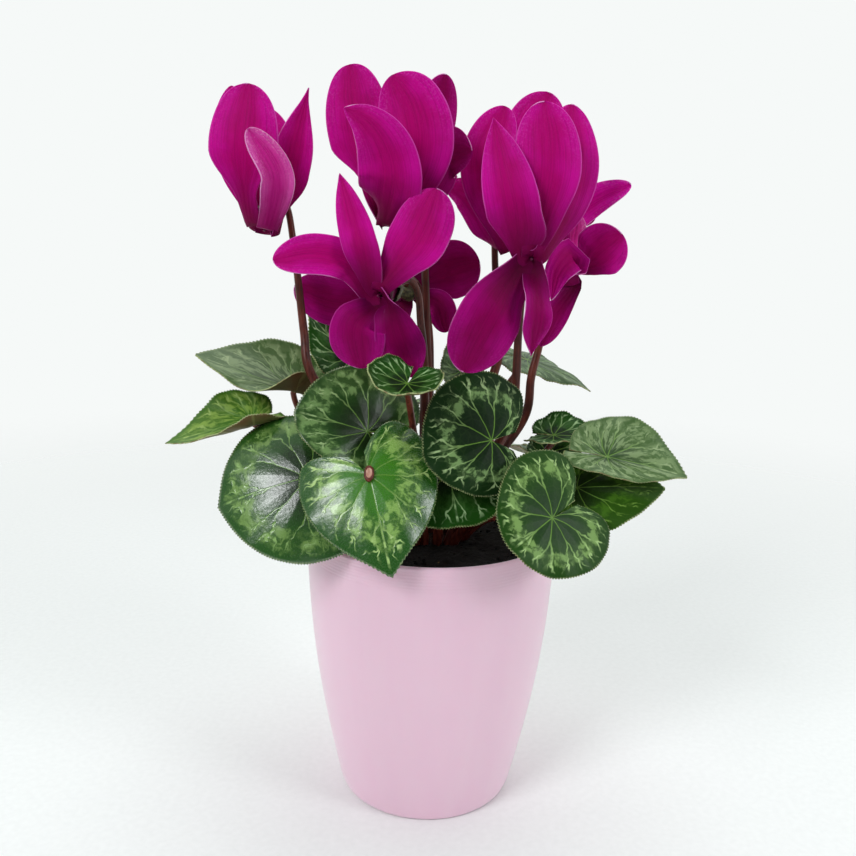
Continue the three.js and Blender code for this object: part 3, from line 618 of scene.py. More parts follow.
def leaf_skin(kind, deep, green, patch, vein, marbling, ring, streaks, wax, shine):
    """A cyclamen blade's upper side: waxy dark green, with forked pale veins and a marbled ring.

    The blade's own maps carry the pattern: Blade runs round the stalk and out to the edge, and Flat
    gives the place on it from the stalk, which is at its middle, towards the tip.
    """
    made, shader, add = material("waxy_leaf_upper_" + kind)
    polar = add("SeparateXYZ", {0: add("UVMap", uv_map="Blade")})
    out = polar.outputs["Y"]
    round_it = add("Math", {0: polar.outputs["X"], 1: 0.5}, "SUBTRACT")
    angle = add("Math", {0: round_it, 1: 2 * math.pi}, "MULTIPLY")
    # Millimetres from the stalk.
    spot = add("Mapping", {"Vector": add("UVMap", uv_map="Flat"), "Scale": (FLAT_UNIT, FLAT_UNIT, 1),
                           "Location": (-FLAT_UNIT / 2, -FLAT_UNIT / 2, 0)})
    flat = add("SeparateXYZ", {0: spot})
    reach = add("VectorMath", {0: spot}, "LENGTH").outputs["Value"]
    # Veins wander by about 0.1 radian over 12 mm, and lean towards the tip as they go out.
    wander = add("TexNoise", {"Vector": spot, "Scale": 0.085, "Detail": 3.0, "Roughness": 0.55})
    sway = add("MapRange", {0: wander, 3: -0.4, 4: 0.4})
    lean = add("MapRange", {0: out, 3: 1.0, 4: 1 + VEIN_LEAN})
    leaning = add("Math", {0: angle, 1: lean}, "MULTIPLY")
    wandering = add("Math", {0: sway, 1: out, 2: leaning}, "MULTIPLY_ADD")
    # A main vein every 42 degrees. It forks at 0.4 of the way out, and each branch ends in a short Y.
    from_main = add("Math", {0: wandering, 1: VEIN_STEP / 2}, "PINGPONG")
    fork = from_main
    for start, end, spread in ((0.4, 0.76, 0.185), (0.76, 0.94, 0.1)):
        apart = add("MapRange", {0: out, 1: start, 2: end, 4: spread})
        fork = add("Math", {0: add("Math", {0: fork, 1: apart}, "SUBTRACT")}, "ABSOLUTE")
    from_fork = add("Math", {0: fork, 1: reach}, "MULTIPLY")
    # The midrib runs straight to the tip.
    beside = add("Math", {0: flat.outputs["X"]}, "ABSOLUTE")
    behind = add("Math", {0: flat.outputs["Y"], 1: 0.0}, "LESS_THAN")
    from_rib = add("Math", {0: behind, 1: 50.0, 2: beside}, "MULTIPLY_ADD")
    nearest = add("Math", {0: from_fork, 1: from_rib}, "MINIMUM")
    # Veins are 0.6 mm wide by the stalk and drawn 1 mm wide near the edge, where they are silvery
    # and break up into strokes.
    width = add("MapRange", {0: out, 1: 0.3, 2: 0.9, 3: 0.42, 4: 0.85})
    within = add("Math", {0: nearest, 1: width}, "DIVIDE")
    line = add("MapRange", {0: within, 1: 0.3, 3: 1.0, 4: 0.0}, **SOFT)
    breaks = add("TexNoise", {"Vector": spot, "Scale": 0.24, "Detail": 2.0})
    stroke = add("MapRange", {0: breaks, 1: 0.42, 2: 0.56, 3: 0.15, 4: 1.0})
    fade = add("MapRange", {0: out, 1: 0.84, 2: 0.94, 3: 1.0, 4: 0.0})
    outer = add("Math", {0: stroke, 1: fade}, "MULTIPLY")
    zone = add("MapRange", {0: out, 1: 0.45, 2: 0.7})
    strength = add("MapRange", {0: zone, 3: 0.7, 4: outer})
    veins = add("Math", {0: line, 1: strength}, "MULTIPLY")
    # A faint net of fine veins, about 4 mm a mesh.
    net = add("TexVoronoi", {"Vector": spot, "Scale": 0.25}, feature="DISTANCE_TO_EDGE")
    net_line = add("MapRange", {0: net, 1: 0.0, 2: 0.08, 3: 0.03, 4: 0.0})
    net_faded = add("Math", {0: net_line, 1: fade}, "MULTIPLY")
    drawn = add("Math", {0: veins, 1: net_faded}, "MAXIMUM")
    # Marbling: clouds of about 5 mm, or streaks that run outwards, held to a ring.
    clouds = add("TexNoise", {"Vector": spot, "Scale": 0.2, "Detail": 4.0, "Roughness": 0.6,
                              "Distortion": 0.5})
    rays = add("CombineXYZ", {0: add("Math", {0: wandering, 1: 4.5}, "MULTIPLY"),
                              1: add("Math", {0: out, 1: 3.0}, "MULTIPLY")})
    streaky = add("TexNoise", {"Vector": rays, "Scale": 1.4, "Detail": 4.0, "Roughness": 0.6})
    pattern = add("MapRange", {0: streaks, 3: clouds, 4: streaky})
    ragged = add("Math", {0: streaky, 1: 0.3, 2: out}, "MULTIPLY_ADD")
    off_ring = add("Math", {0: ragged, 1: ring[0] + 0.15}, "SUBTRACT")
    off = add("Math", {0: off_ring}, "ABSOLUTE")
    in_ring = add("MapRange", {0: off, 1: ring[1] * 0.65, 2: ring[1] * 1.1, 3: 1.0, 4: 0.0}, **SOFT)
    clear = add("MapRange", {0: from_main, 1: 0.04, 2: 0.13, 3: 0.3, 4: 1.0})
    thick = add("MapRange", {0: pattern, 1: 0.44, 2: 0.56, 3: 0.12}, **SOFT)
    kept = add("Math", {0: in_ring, 1: clear}, "MULTIPLY")
    marbled = add("Math", {0: kept, 1: thick}, "MULTIPLY")
    amount = add("Math", {0: marbled, 1: marbling}, "MULTIPLY")
    # Puckers of about 1.5 mm and a finer crinkle break the wax's shine.
    puckers = add("TexVoronoi", {"Vector": spot, "Scale": 0.7}, feature="SMOOTH_F1")
    crinkle = add("TexNoise", {"Vector": spot, "Scale": 1.1, "Detail": 4.0, "Roughness": 0.6})
    tone = add("TexNoise", {"Vector": spot, "Scale": 0.07, "Detail": 3.0})
    heart = add("Math", {0: tone, 1: 0.35, 2: out}, "MULTIPLY_ADD")
    body_tone = add("MapRange", {0: heart, 1: 0.45, 2: 0.85}, **SOFT)
    body = add("Mix", {0: body_tone, 6: deep, 7: green}, **COLOURS)
    grain = add("MapRange", {0: crinkle, 1: 0.35, 2: 0.7, 3: 0.0, 4: 0.3})
    grained = add("Mix", {0: grain, 6: body, 7: green}, **COLOURS)
    marble = add("Mix", {0: amount, 6: grained, 7: patch}, **COLOURS)
    vein_tone = add("MapRange", {0: out, 1: 0.3, 2: 0.75})
    vein_colour = add("Mix", {0: vein_tone, 6: "6E9A3C", 7: vein}, **COLOURS)
    quilted = add("Math", {0: puckers.outputs["Distance"], 1: 0.45}, "MULTIPLY")
    sunk = add("Math", {0: drawn, 1: -0.8, 2: quilted}, "MULTIPLY_ADD")
    height = add("Math", {0: crinkle, 1: 0.4, 2: sunk}, "MULTIPLY_ADD")
    skin = add("Mix", {0: drawn, 6: marble, 7: vein_colour}, **COLOURS)
    # The horny edge is a pale, broken line 0.5 mm wide.
    rim = add("MapRange", {0: out, 1: 0.976, 2: 0.99, 3: 0.0, 4: 0.6})
    broken = add("MapRange", {0: crinkle, 1: 0.45, 2: 0.58, 3: 0.1, 4: 1.0})
    rimmed = add("Math", {0: rim, 1: broken}, "MULTIPLY")
    join_up(shader, {
        "Base Color": add("Mix", {0: rimmed, 6: skin, 7: "A9B67C"}, **COLOURS),
        "Roughness": add("MapRange", {0: crinkle, 1: 0.3, 2: 0.7, 3: wax - 0.03, 4: wax + 0.05}),
        "IOR": 1.48,
        "Specular IOR Level": shine,
        "Normal": add("Bump", {"Height": height, "Strength": 0.26, "Distance": 0.0005}),
    })
    return made


def leaf_underside():
    """The blade's underside: matt olive, flushed with red-brown, its veins standing up and paler."""
    made, shader, add = material("leaf_underside_olive")
    place = add("TexCoord").outputs["Object"]
    polar = add("SeparateXYZ", {0: add("UVMap", uv_map="Blade")})
    flush = add("TexNoise", {"Vector": place, "Scale": 60.0, "Detail": 3.0})
    round_the_blade = add("Math", {0: polar.outputs["X"], 1: 8.16}, "MULTIPLY")
    from_vein = add("Math", {0: round_the_blade, 1: 0.5}, "PINGPONG")
    vein = add("MapRange", {0: from_vein, 1: 0.02, 2: 0.08, 3: 1.0, 4: 0.0})
    share = add("MapRange", {0: flush, 1: 0.35, 2: 0.65})
    skin = add("Mix", {0: share, 6: "565E2A", 7: "6A4A28"}, **COLOURS)
    faint = add("Math", {0: vein, 1: 0.5}, "MULTIPLY")
    join_up(shader, {
        "Base Color": add("Mix", {0: faint, 6: skin, 7: "8A8A50"}, **COLOURS),
        "Roughness": 0.6,
        "Normal": add("Bump", {"Height": vein, "Strength": 0.5, "Distance": 0.0005}),
    })
    return made


def leaf_margin():
    """The horny edge of the blade: pale yellow-green, with red-brown on some of the teeth."""
    made, shader, add = material("leaf_margin_pale")
    place = add("TexCoord").outputs["Object"]
    spots = add("TexNoise", {"Vector": place, "Scale": 450.0, "Detail": 1.0})
    share = add("MapRange", {0: spots, 1: 0.5, 2: 0.62, 3: 0.0, 4: 0.7})
    join_up(shader, {
        "Base Color": add("Mix", {0: share, 6: "AEBB80", 7: "7A5A38"}, **COLOURS),
        "Roughness": 0.5,
    })
    return made


def petal_skin(name, foot, main, bright, rim, fleck):
    """A petal: soft magenta velvet, crimson at its foot, brighter and mottled towards edge and tip.

    UVMap runs across the petal and from its foot to its tip.
    """
    made, shader, add = material(name)
    laid = add("UVMap", uv_map="UVMap")
    parts = add("SeparateXYZ", {0: laid})
    from_middle = add("Math", {0: parts.outputs["X"], 1: 0.5}, "SUBTRACT")
    aside = add("Math", {0: from_middle}, "ABSOLUTE")
    # Veins about 0.7 mm apart run the petal's whole length.
    long_way = add("Mapping", {"Vector": laid, "Scale": (46, 2.5, 1)})
    streaks = add("TexNoise", {"Vector": long_way, "Scale": 1.0, "Detail": 3.0, "Roughness": 0.6})
    place = add("TexCoord").outputs["Object"]
    # Clouds of about 12 mm, and the pebbled skin: cells drawn at about 0.9 mm so that they show.
    clouds = add("TexNoise", {"Vector": place, "Scale": 85.0, "Detail": 3.0})
    cells = add("TexNoise", {"Vector": place, "Scale": 1100.0, "Detail": 3.0, "Roughness": 0.7})
    outward = add("Math", {0: clouds, 1: 0.5, 2: aside}, "MULTIPLY_ADD")
    near_edge = add("MapRange", {0: outward, 1: 0.3, 2: 0.72, 4: 0.9}, **SOFT)
    lit = add("Mix", {0: near_edge, 6: main, 7: bright}, **COLOURS)
    vein = add("MapRange", {0: streaks, 1: 0.36, 2: 0.56, 3: 0.18 + fleck * 0.3, 4: 0.0})
    veined = add("Mix", {0: vein, 6: lit, 7: foot}, **COLOURS)
    tip_zone = add("MapRange", {0: parts.outputs["Y"], 1: 0.35, 2: 0.95, 3: 0.1, 4: 1.0})
    edge_zone = add("MapRange", {0: aside, 1: 0.22, 2: 0.5, 3: 0.1, 4: 1.0})
    zone = add("Math", {0: tip_zone, 1: edge_zone}, "MULTIPLY")
    grains = add("MapRange", {0: cells, 1: 0.5, 2: 0.64, 3: 0.0, 4: min(1.0, 0.45 + fleck)})
    flecked = add("Math", {0: zone, 1: grains}, "MULTIPLY")
    speckled = add("Mix", {0: flecked, 6: veined, 7: rim}, **COLOURS)
    line = add("MapRange", {0: aside, 1: 0.474, 2: 0.492, 3: 0.0, 4: 0.75})
    rimmed = add("Mix", {0: line, 6: speckled, 7: rim}, **COLOURS)
    low = add("MapRange", {0: parts.outputs["Y"], 1: 0.03, 2: 0.38, 3: 0.9, 4: 0.0}, **SOFT)
    height = add("Math", {0: cells, 1: 0.35, 2: streaks}, "MULTIPLY_ADD")
    join_up(shader, {
        "Base Color": add("Mix", {0: low, 6: rimmed, 7: foot}, **COLOURS),
        "Roughness": add("MapRange", {0: cells, 1: 0.3, 2: 0.7, 3: 0.5, 4: 0.66}),
        "IOR": 1.4,
        "Specular IOR Level": 0.07,
        "Subsurface Weight": 0.15,
        "Subsurface Radius": (1.0, 0.1, 0.5),
        "Subsurface Scale": 0.0015,
        "Normal": add("Bump", {"Height": height, "Strength": 0.35, "Distance": 0.0004}),
    })
    return made


def sepal_skin():
    """The calyx: dull green-brown, with dark streaks along each sepal."""
    made, shader, add = material("sepal_green_brown")
    place = add("TexCoord").outputs["Object"]
    spots = add("TexNoise", {"Vector": place, "Scale": 700.0, "Detail": 3.0})
    share = add("MapRange", {0: spots, 1: 0.4, 2: 0.6})
    join_up(shader, {
        "Base Color": add("Mix", {0: share, 6: "2A2A1A", 7: "5A5A34"}, **COLOURS),
        "Roughness": 0.55,
        "Normal": add("Bump", {"Height": spots, "Strength": 0.4, "Distance": 0.0004}),
    })
    return made


def studio_paper():
    """Matt white background paper with a faint tooth, which runs out into the bright room behind."""
    made, shader, add = material("studio_paper_white")
    place = add("TexCoord").outputs["Object"]
    tooth = add("TexNoise", {"Vector": place, "Scale": 300.0, "Detail": 2.0})
    share = add("MapRange", {0: tooth, 1: 0.3, 2: 0.7})
    join_up(shader, {
        "Base Color": add("Mix", {0: share, 6: "EDF0EF", 7: "F1F4F3"}, **COLOURS),
        "Roughness": 0.9,
        "Specular IOR Level": 0.1,
    })
    reach = add("VectorMath", {0: place}, "LENGTH").outputs["Value"]
    gone = add("MapRange", {0: reach, 1: 0.25, 2: 1.1}, **SOFT)
    clear = add("BsdfTransparent")
    blend = add("MixShader", {0: gone, 1: shader, 2: clear})
    join_up(made.node_tree.nodes["Material Output"], {"Surface": blend})
    return made


def lit_room(strength):
    """The room's light: a bright white backdrop behind the plant, dimmer towards the camera's side."""
    world = bpy.data.worlds.new("studio_room")
    world.use_nodes = True
    add = partial(add_node, world.node_tree)
    way = add("SeparateXYZ", {0: add("TexCoord").outputs["Generated"]})
    bright = add("MapRange", {0: way.outputs["Y"], 1: -0.6, 2: 0.45, 3: strength * 0.15, 4: strength},
                 **SOFT)
    join_up(world.node_tree.nodes["Background"], {"Color": "F6F9F8", "Strength": bright})
    return world


# ---------- leaves ----------


def blade_axes(leaf):
    """The blade's own axes: across, towards the tip, and out of the upper face."""
    along = V(leaf.tip) - V(leaf.joint)
    length = along.length
    along.normalize()
    out = compass(leaf.face)
    out = (out - along * out.dot(along)).normalized()
    return along.cross(out), along, out, length


def blade_edge(angle, length, leaf):
    """How far the edge is from the stalk at an angle from the tip, in degrees."""
    across, away = leaf.width / 2, abs(angle)
    body = across + (length - across) * math.exp(-away / leaf.blunt)
    sinus = leaf.sinus[0 if angle < 0 else 1]
    return body * (1 - leaf.dent * smooth(away, sinus - 38, sinus + 2))


def blade_flat(leaf, length, share, angle):
    """A spot of the blade laid flat: across and along from the stalk."""
    lobe = between(1, leaf.lobes[0 if angle < 0 else 1], smooth(abs(angle), 60, 120))
    reach = share * blade_edge(angle, length, leaf) * lobe
    aside, ahead = leaf.shift
    return (reach * math.sin(math.radians(angle)) + aside * share,
            reach * math.cos(math.radians(angle)) + ahead * share)


def blade_spot(leaf, axes, share, angle, lift=0.0):
    across, along, out, length = axes
    x, y = blade_flat(leaf, length, share, angle)
    half = 0 if x < 0 else 1
    flat_x, lift_x = arc(x * leaf.halves[half], leaf.curl[half], leaf.width / 2)
    flat_y, lift_y = arc(y, leaf.arch, length)
    # A lobe that is turned up folds along a line 2 mm from the stalk.
    flap = leaf.flap[half] * smooth(abs(angle), 48, 105)
    past = max(0.0, abs(flat_x) - 2)
    fold = math.radians(100) * flap
    flat_x -= math.copysign(past * (1 - math.cos(fold)), flat_x)
    lift_x += past * math.sin(fold)
    return V(leaf.joint) + across * flat_x + along * flat_y + out * (lift_x + lift_y + lift)


def blade(name, leaf, seed, sizes, skins):
    """One blade: a sheet wrapped round its stalk, with teeth, a wavy edge and quilted skin."""
    axes = blade_axes(leaf)
    teeth = round(leaf.width * TEETH)
    one_side, other_side = leaf.sinus

    def turn_and_share(across, along):
        # The corners crowd towards the edge, where the teeth are.
        return between(-one_side, other_side, across), 1 - (1 - along) ** 1.35

    def place(across, along):
        angle, share = turn_and_share(across, along)
        turn, half_step = math.radians(angle), VEIN_STEP / 2
        main = turn * (1 + VEIN_LEAN * share)
        from_main = abs((main + half_step) % VEIN_STEP - half_step) / half_step
        quilt = QUILT * from_main * share * (1 - share**3)
        sink = -RIB_DEPTH * math.exp(-((share * math.sin(turn) * 8) ** 2)) * share
        # Five broad waves and thirteen small ones go round the edge.
        wave = sizes.edge_wave / MM * share**4 * math.sin(turn * 5 + seed * 1.7)
        wave += sizes.small_wave / MM * share**6 * math.sin(turn * 13 + seed)
        tooth = math.cos(across * teeth * 2 * math.pi)
        bite = sizes.tooth_depth / MM * tooth * smooth(share, 0.93, 1.0)
        radius = max(1.0, math.hypot(*blade_flat(leaf, axes[3], 1.0, angle)))
        return blade_spot(leaf, axes, share * (1 + bite / radius), angle, quilt + sink + wave)

    def round_the_stalk(across, along):
        angle, share = turn_and_share(across, along)
        return angle / 360 + 0.5, share

    def laid_flat(across, along):
        x, y = blade_flat(leaf, axes[3], *reversed(turn_and_share(across, along)))
        return x / FLAT_UNIT + 0.5, y / FLAT_UNIT + 0.5

    piece = sheet(name, teeth * 2, BLADE_ROWS, place, {"Blade": round_the_stalk, "Flat": laid_flat})
    dress(piece, *skins)
    thicken(sizes.blade_thickness)
    return piece


def stalk_way(leaf):
    """The leaf stalk's way from the tuber's crown up to the underside of its blade."""
    _, along, out, _ = blade_axes(leaf)
    x, y, _ = leaf.joint
    around = math.atan2(y, x)
    if leaf.root_turn is not None:
        around = math.radians(leaf.root_turn)
    crown = TUBER_CROWN * between(0.84, 1, smooth(math.hypot(x, y), 20, 80))
    root = V((math.cos(around) * crown, math.sin(around) * crown, TUBER_TOP - 7))
    end = V(leaf.joint) - out * 1.85
    arrive = (out * 0.8 + along * 0.45).normalized()
    reach = (end - root).length
    leave = V((root.x * 0.02, root.y * 0.02, 1)).normalized()
    bow = V(leaf.bow)
    first = root + leave * reach * 0.4 + bow
    last = end - arrive * reach * 0.3 + bow
    shares = (i / LEAF_STALK_STEPS for i in range(LEAF_STALK_STEPS + 1))
    points = [bezier(root, first, last, end, share) for share in shares]
    return points + [V(leaf.joint) - out * 0.2]


# ---------- flowers ----------


def petal_feet(bloom):
    """Where the five petals start round the mouth, with a wider gap where the stalk comes past."""
    look = V(bloom.look).normalized()
    side = V((0, 0, 1)).cross(look).normalized()
    up = look.cross(side)
    mouth = V(bloom.mouth)
    bend = V(bloom.stalk[1]) - mouth
    gap = math.atan2(bend.dot(up), bend.dot(side))
    if bloom.gap_turn is not None:
        gap = math.radians(bloom.gap_turn)
    feet = []
    for i in range(5):
        turn = gap + math.radians(PETAL_GAP / 2 + i * PETAL_STEP)
        out = side * math.cos(turn) + up * math.sin(turn)
        feet.append((out, look.cross(out)))
    return look, mouth, feet


def petal_half(share, petal):
    """Half the petal's width, from its narrow foot to its tip."""
    foot, half = petal.foot / 2, petal.width / 2
    widest = petal.widest
    if share < widest:
        return between(foot, half, smooth(share, petal.neck, widest - 0.04))
    gone = (share - widest) / (1 - widest)
    return half * max(0.0, 1 - gone**2.2) ** petal.point


def petal_sheet(name, bloom, number, seed, sizes, skins):
    """One petal: a sheet along its own line, narrow at its foot, cupped and rippled."""
    look, mouth, feet = petal_feet(bloom)
    petal, cover, (out_way, around) = bloom.petals[number], bloom.cover, feet[number]
    start = mouth - look * between(1.6, -0.5, cover) + out_way * between(TUBE_MOUTH - 0.6, 0.8, cover)
    fold = mouth + look * between(2.6, 1.8, cover) + out_way * between(TUBE_MOUTH + 1.6, 5.2, cover)
    line = Line([start, fold, *(V(point) for point in (*petal.low, petal.belly, *petal.bend, petal.tip))])
    facing = compass(petal.face)
    # The broad side may look away from the flower's middle, and does so from foot to tip.
    turned_over = line.at(0.45)[1].cross(facing).dot(around) < 0
    rows = {}

    def row(along):
        key = round(along, 5)
        if key not in rows:
            share = 1 - (1 - along) ** 1.7
            spot, runs = line.at(share)
            # Where the petal runs the way its broad side looks, it keeps its foot's side instead.
            wanted = runs.cross(facing)
            if turned_over:
                wanted.negate()
            side = around.lerp(wanted, smooth(share, 0.05, 0.45)) + around * 0.3 * (1 - wanted.length)
            side = (side - runs * side.dot(runs)).normalized()
            out = runs.cross(side)
            cup = petal.cup * max(-1.0, min(1.0, out.dot(facing) * 3)) * smooth(share, 0.1, 0.5)
            rows[key] = spot, side, out, share, petal_half(share, petal), cup
        return rows[key]

    def place(across, along):
        spot, side, out, share, half, cup = row(along)
        aside = between(-half, half, across)
        flat, lift = arc(aside, cup, petal.width / 2)
        edge = abs(across - 0.5) * 2
        # The edge ripples, the middle is a shallow gutter and soft ribs run the petal's length.
        ripple = sizes.petal_ripple / MM * edge**3 * smooth(share, 0.15, 0.5)
        lift += ripple * math.sin(share * 15 + seed + (2.1 if across < 0.5 else 0))
        lift -= 0.5 * (1 - edge) ** 2 * smooth(share, 0.1, 0.4) * (1 - share)
        lift += 0.1 * math.sin(across * 34 + seed) * smooth(share, 0.05, 0.3)
        # At its foot each petal lies over one neighbour and under the other.
        lift += 1.2 * (across - 0.5) * (1 - smooth(share, 0.08, 0.3))
        # The foot is curved round the mouth.
        round_mouth = aside**2 / (2.3 * TUBE_MOUTH) * (1 - smooth(share, 0.12, 0.36))
        return spot + side * flat + out * lift - out_way * round_mouth

    piece = sheet(name, *PETAL_GRID, place)
    dress(piece, *skins)
    thicken(sizes.petal_thickness)
    return piece


def aim(piece, place, look):
    """Turns a piece made on the Z axis to look a given way, in its mesh."""
    turn = V((0, 0, 1)).rotation_difference(look).to_matrix().to_4x4()
    piece.data.transform(Matrix.Translation(place * MM) @ turn)


def flower_tube(name, bloom, skin):
    """The short tube behind the petals, its rolled mouth and the style in it."""
    outline = [
        (2.0, -TUBE_LENGTH), (3.6, -TUBE_LENGTH + 0.7), (TUBE_BACK, -TUBE_LENGTH + 1.8),
        (4.7, -5.0), (5.2, -3.6), (TUBE_MOUTH, -TUBE_RECESS), (TUBE_MOUTH + 0.15, -1.2),
        (TUBE_MOUTH + 0.1, -0.3), (TUBE_MOUTH - 0.5, 0.1), (TUBE_MOUTH - 1.3, 0.05),
        (TUBE_MOUTH - 1.7, -0.6), (TUBE_MOUTH - 2.1, -TUBE_RECESS + 0.3), (1.4, -TUBE_RECESS),
        (0.9, -TUBE_RECESS + 0.4), (0.62, -1.0), (0.55, 1.6), (0.7, 2.1), (0.45, 2.4), (0, 2.5),
    ]
    piece = turned(name, outline, 30)
    dress(piece, skin)
    aim(piece, V(bloom.mouth), V(bloom.look).normalized())
    return piece


def bloom_stalk_way(bloom):
    """The flower stalk's way from its calyx, over its hook and down into the tuber."""
    look = V(bloom.look).normalized()
    back = V(bloom.mouth) - look * (TUBE_LENGTH + CALYX_GAP)
    x, y = bloom.root
    points = [back, back - look * 4, *(V(p) for p in bloom.stalk),
              V((x * 1.12, y * 1.12, TUBER_TOP + 14)), V((x, y, TUBER_TOP - 6))]
    return Line(points, 240)


def calyx(name, bloom, skin):
    """Five pointed sepals that hold the tube."""

    def place(across, along):
        around = across * 2 * math.pi
        point = abs(math.cos(around * 2.5)) ** 1.4
        length = between(0.52, 1.12, point) * (CALYX_LENGTH + 1.2)
        rise = -TUBE_LENGTH - 1.3 + length * along
        round_back = math.sin(min(1.0, along * 2.6) * math.pi / 2)
        radius = between(1.4, 5.1, round_back) + 0.75 * along + 0.35 * point * along**2
        if along == 0:
            radius = 0.0
        return V((math.cos(around) * radius, math.sin(around) * radius, rise))

    piece = sheet(name, 60, 10, place)
    dress(piece, skin)
    finish_modifier("SOLIDIFY", thickness=0.6 * MM, offset=1.0)
    aim(piece, V(bloom.mouth), V(bloom.look).normalized())
    return piece


# ---------- sizes and colours that a user may change ----------

POT_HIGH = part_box("pot")[1]


def measure(name, description, default, unit="LENGTH"):
    """A size in metres, or another measure."""
    return bpy.props.FloatProperty(name=name, description=description, default=default, unit=unit)


def tone(name, description, code):
    """A colour, given as sRGB hex and kept as the linear colour that a shader takes."""
    return bpy.props.FloatVectorProperty(
        name=name, description=description, default=colour(code), size=4, subtype="COLOR", min=0.0, max=1.0
    )


class CyclamenPot(bpy.types.PropertyGroup):
    height: measure("Height", "From the table to the rim", round(POT_HIGH[2], 5))
    rim_radius: measure("Rim radius", "Outer radius at the rim", round(POT_HIGH[0], 5))
    base_radius: measure("Base radius", "Outer radius at the base", 0.0455)
    belly: measure("Belly", "How far the wall swells past a straight cone", 0.0042)
    wall: measure("Wall", "Thickness of the wall", 0.0024)
    tint: tone("Tint", "Colour of the plastic", "F2C8DD")
    light: tone("Light tint", "Colour along the flow marks", "F3CDDF")


class CyclamenPlant(bpy.types.PropertyGroup):
    blade_thickness: measure("Blade thickness", "Thickness of a leaf blade", 0.0006)
    tooth_depth: measure("Tooth depth", "Half the depth of the teeth round a blade", 0.00032)
    edge_wave: measure("Edge wave", "How far a blade's edge waves up and down", 0.0009)
    small_wave: measure("Small waves", "How far the small waves on a blade's edge go", 0.00035)
    leaf_stalk: measure("Leaf stalk", "Radius of a leaf stalk in its middle", 0.002)
    bloom_stalk: measure("Flower stalk", "Radius of a flower stalk in its middle", 0.0023)
    petal_thickness: measure("Petal thickness", "Thickness of a petal", 0.0005)
    petal_ripple: measure("Petal ripple", "How far a petal's edge ripples", 0.0005)


class CyclamenStudio(bpy.types.PropertyGroup):
    place: bpy.props.FloatVectorProperty(name="Camera", description="Where the camera stands",
                                         default=(-0.0032, -0.449, 0.295), subtype="TRANSLATION")
    lens: measure("Lens", "Focal length", 37.85, "CAMERA")
    pitch: measure("Pitch", "How far the camera looks down", math.radians(12.57), "ROTATION")
    roll: measure("Roll", "How far the camera leans to its side", math.radians(1.5), "ROTATION")
    key_power: measure("Main light", "Power of the main light", 13.3, "POWER")
    sky: measure("Room light", "Strength of the light from behind", 1.0, "NONE")


# ---------- operators ----------


def pot_radius(pot, height):
    share = height / pot.height
    return between(pot.base_radius, pot.rim_radius, share) + pot.belly * math.sin(math.pi * share)


class CYCLAMEN_OT_pot(bpy.types.Operator):
    """Turns the tapered pot with its rounded rim and the fine moulded lines below it"""

    bl_idname = "cyclamen.pot"
    bl_label = "Pot"

    def execute(self, context):
        pot = context.scene.cyclamen_pot
        sizes = (pot.height, pot.rim_radius, pot.base_radius, pot.wall)
        height, rim, base, wall = (size / MM for size in sizes)

        def radius(z):
            return pot_radius(pot, z * MM) / MM

        edge = 2.2
        outer = [(20, 0), (base - edge, 0)]
        outer += [(base - edge + edge * math.sin(a), edge - edge * math.cos(a)) for a in (0.5, 1.0, 1.4)]
        outer += [(radius(z), z) for z in range(4, int(height) - 12, 6)]
        # Fine lines left by the mould below the rim, 1.6 mm apart and 0.12 mm deep.
        step, depth, first_line = 0.4, 0.12, height - 12.4
        for i in range(28):
            z = first_line + i * step
            outer.append((radius(z) - depth * (i % 4 == 2), z))
        outer += [(rim - 0.1, height - 0.8), (rim - 0.4, height - 0.3), (rim - 0.9, height)]
        inner = [(rim - wall + 0.7, height), (rim - wall + 0.2, height - 0.3), (rim - wall, height - 1.0)]
        inner += [(radius(z) - wall, z) for z in range(int(height) - 4, 6, -8)]
        floor = 3.5
        inner += [(radius(5) - wall - 1.2, floor + 0.4), (30, floor), (0, floor)]
        piece = turned("pot_wall", outer + inner, 128)
        dress(piece, moulded_polypropylene(pot.tint, pot.light))
        hand_over(piece, "pot_plastic", "pot")
        return {"FINISHED"}


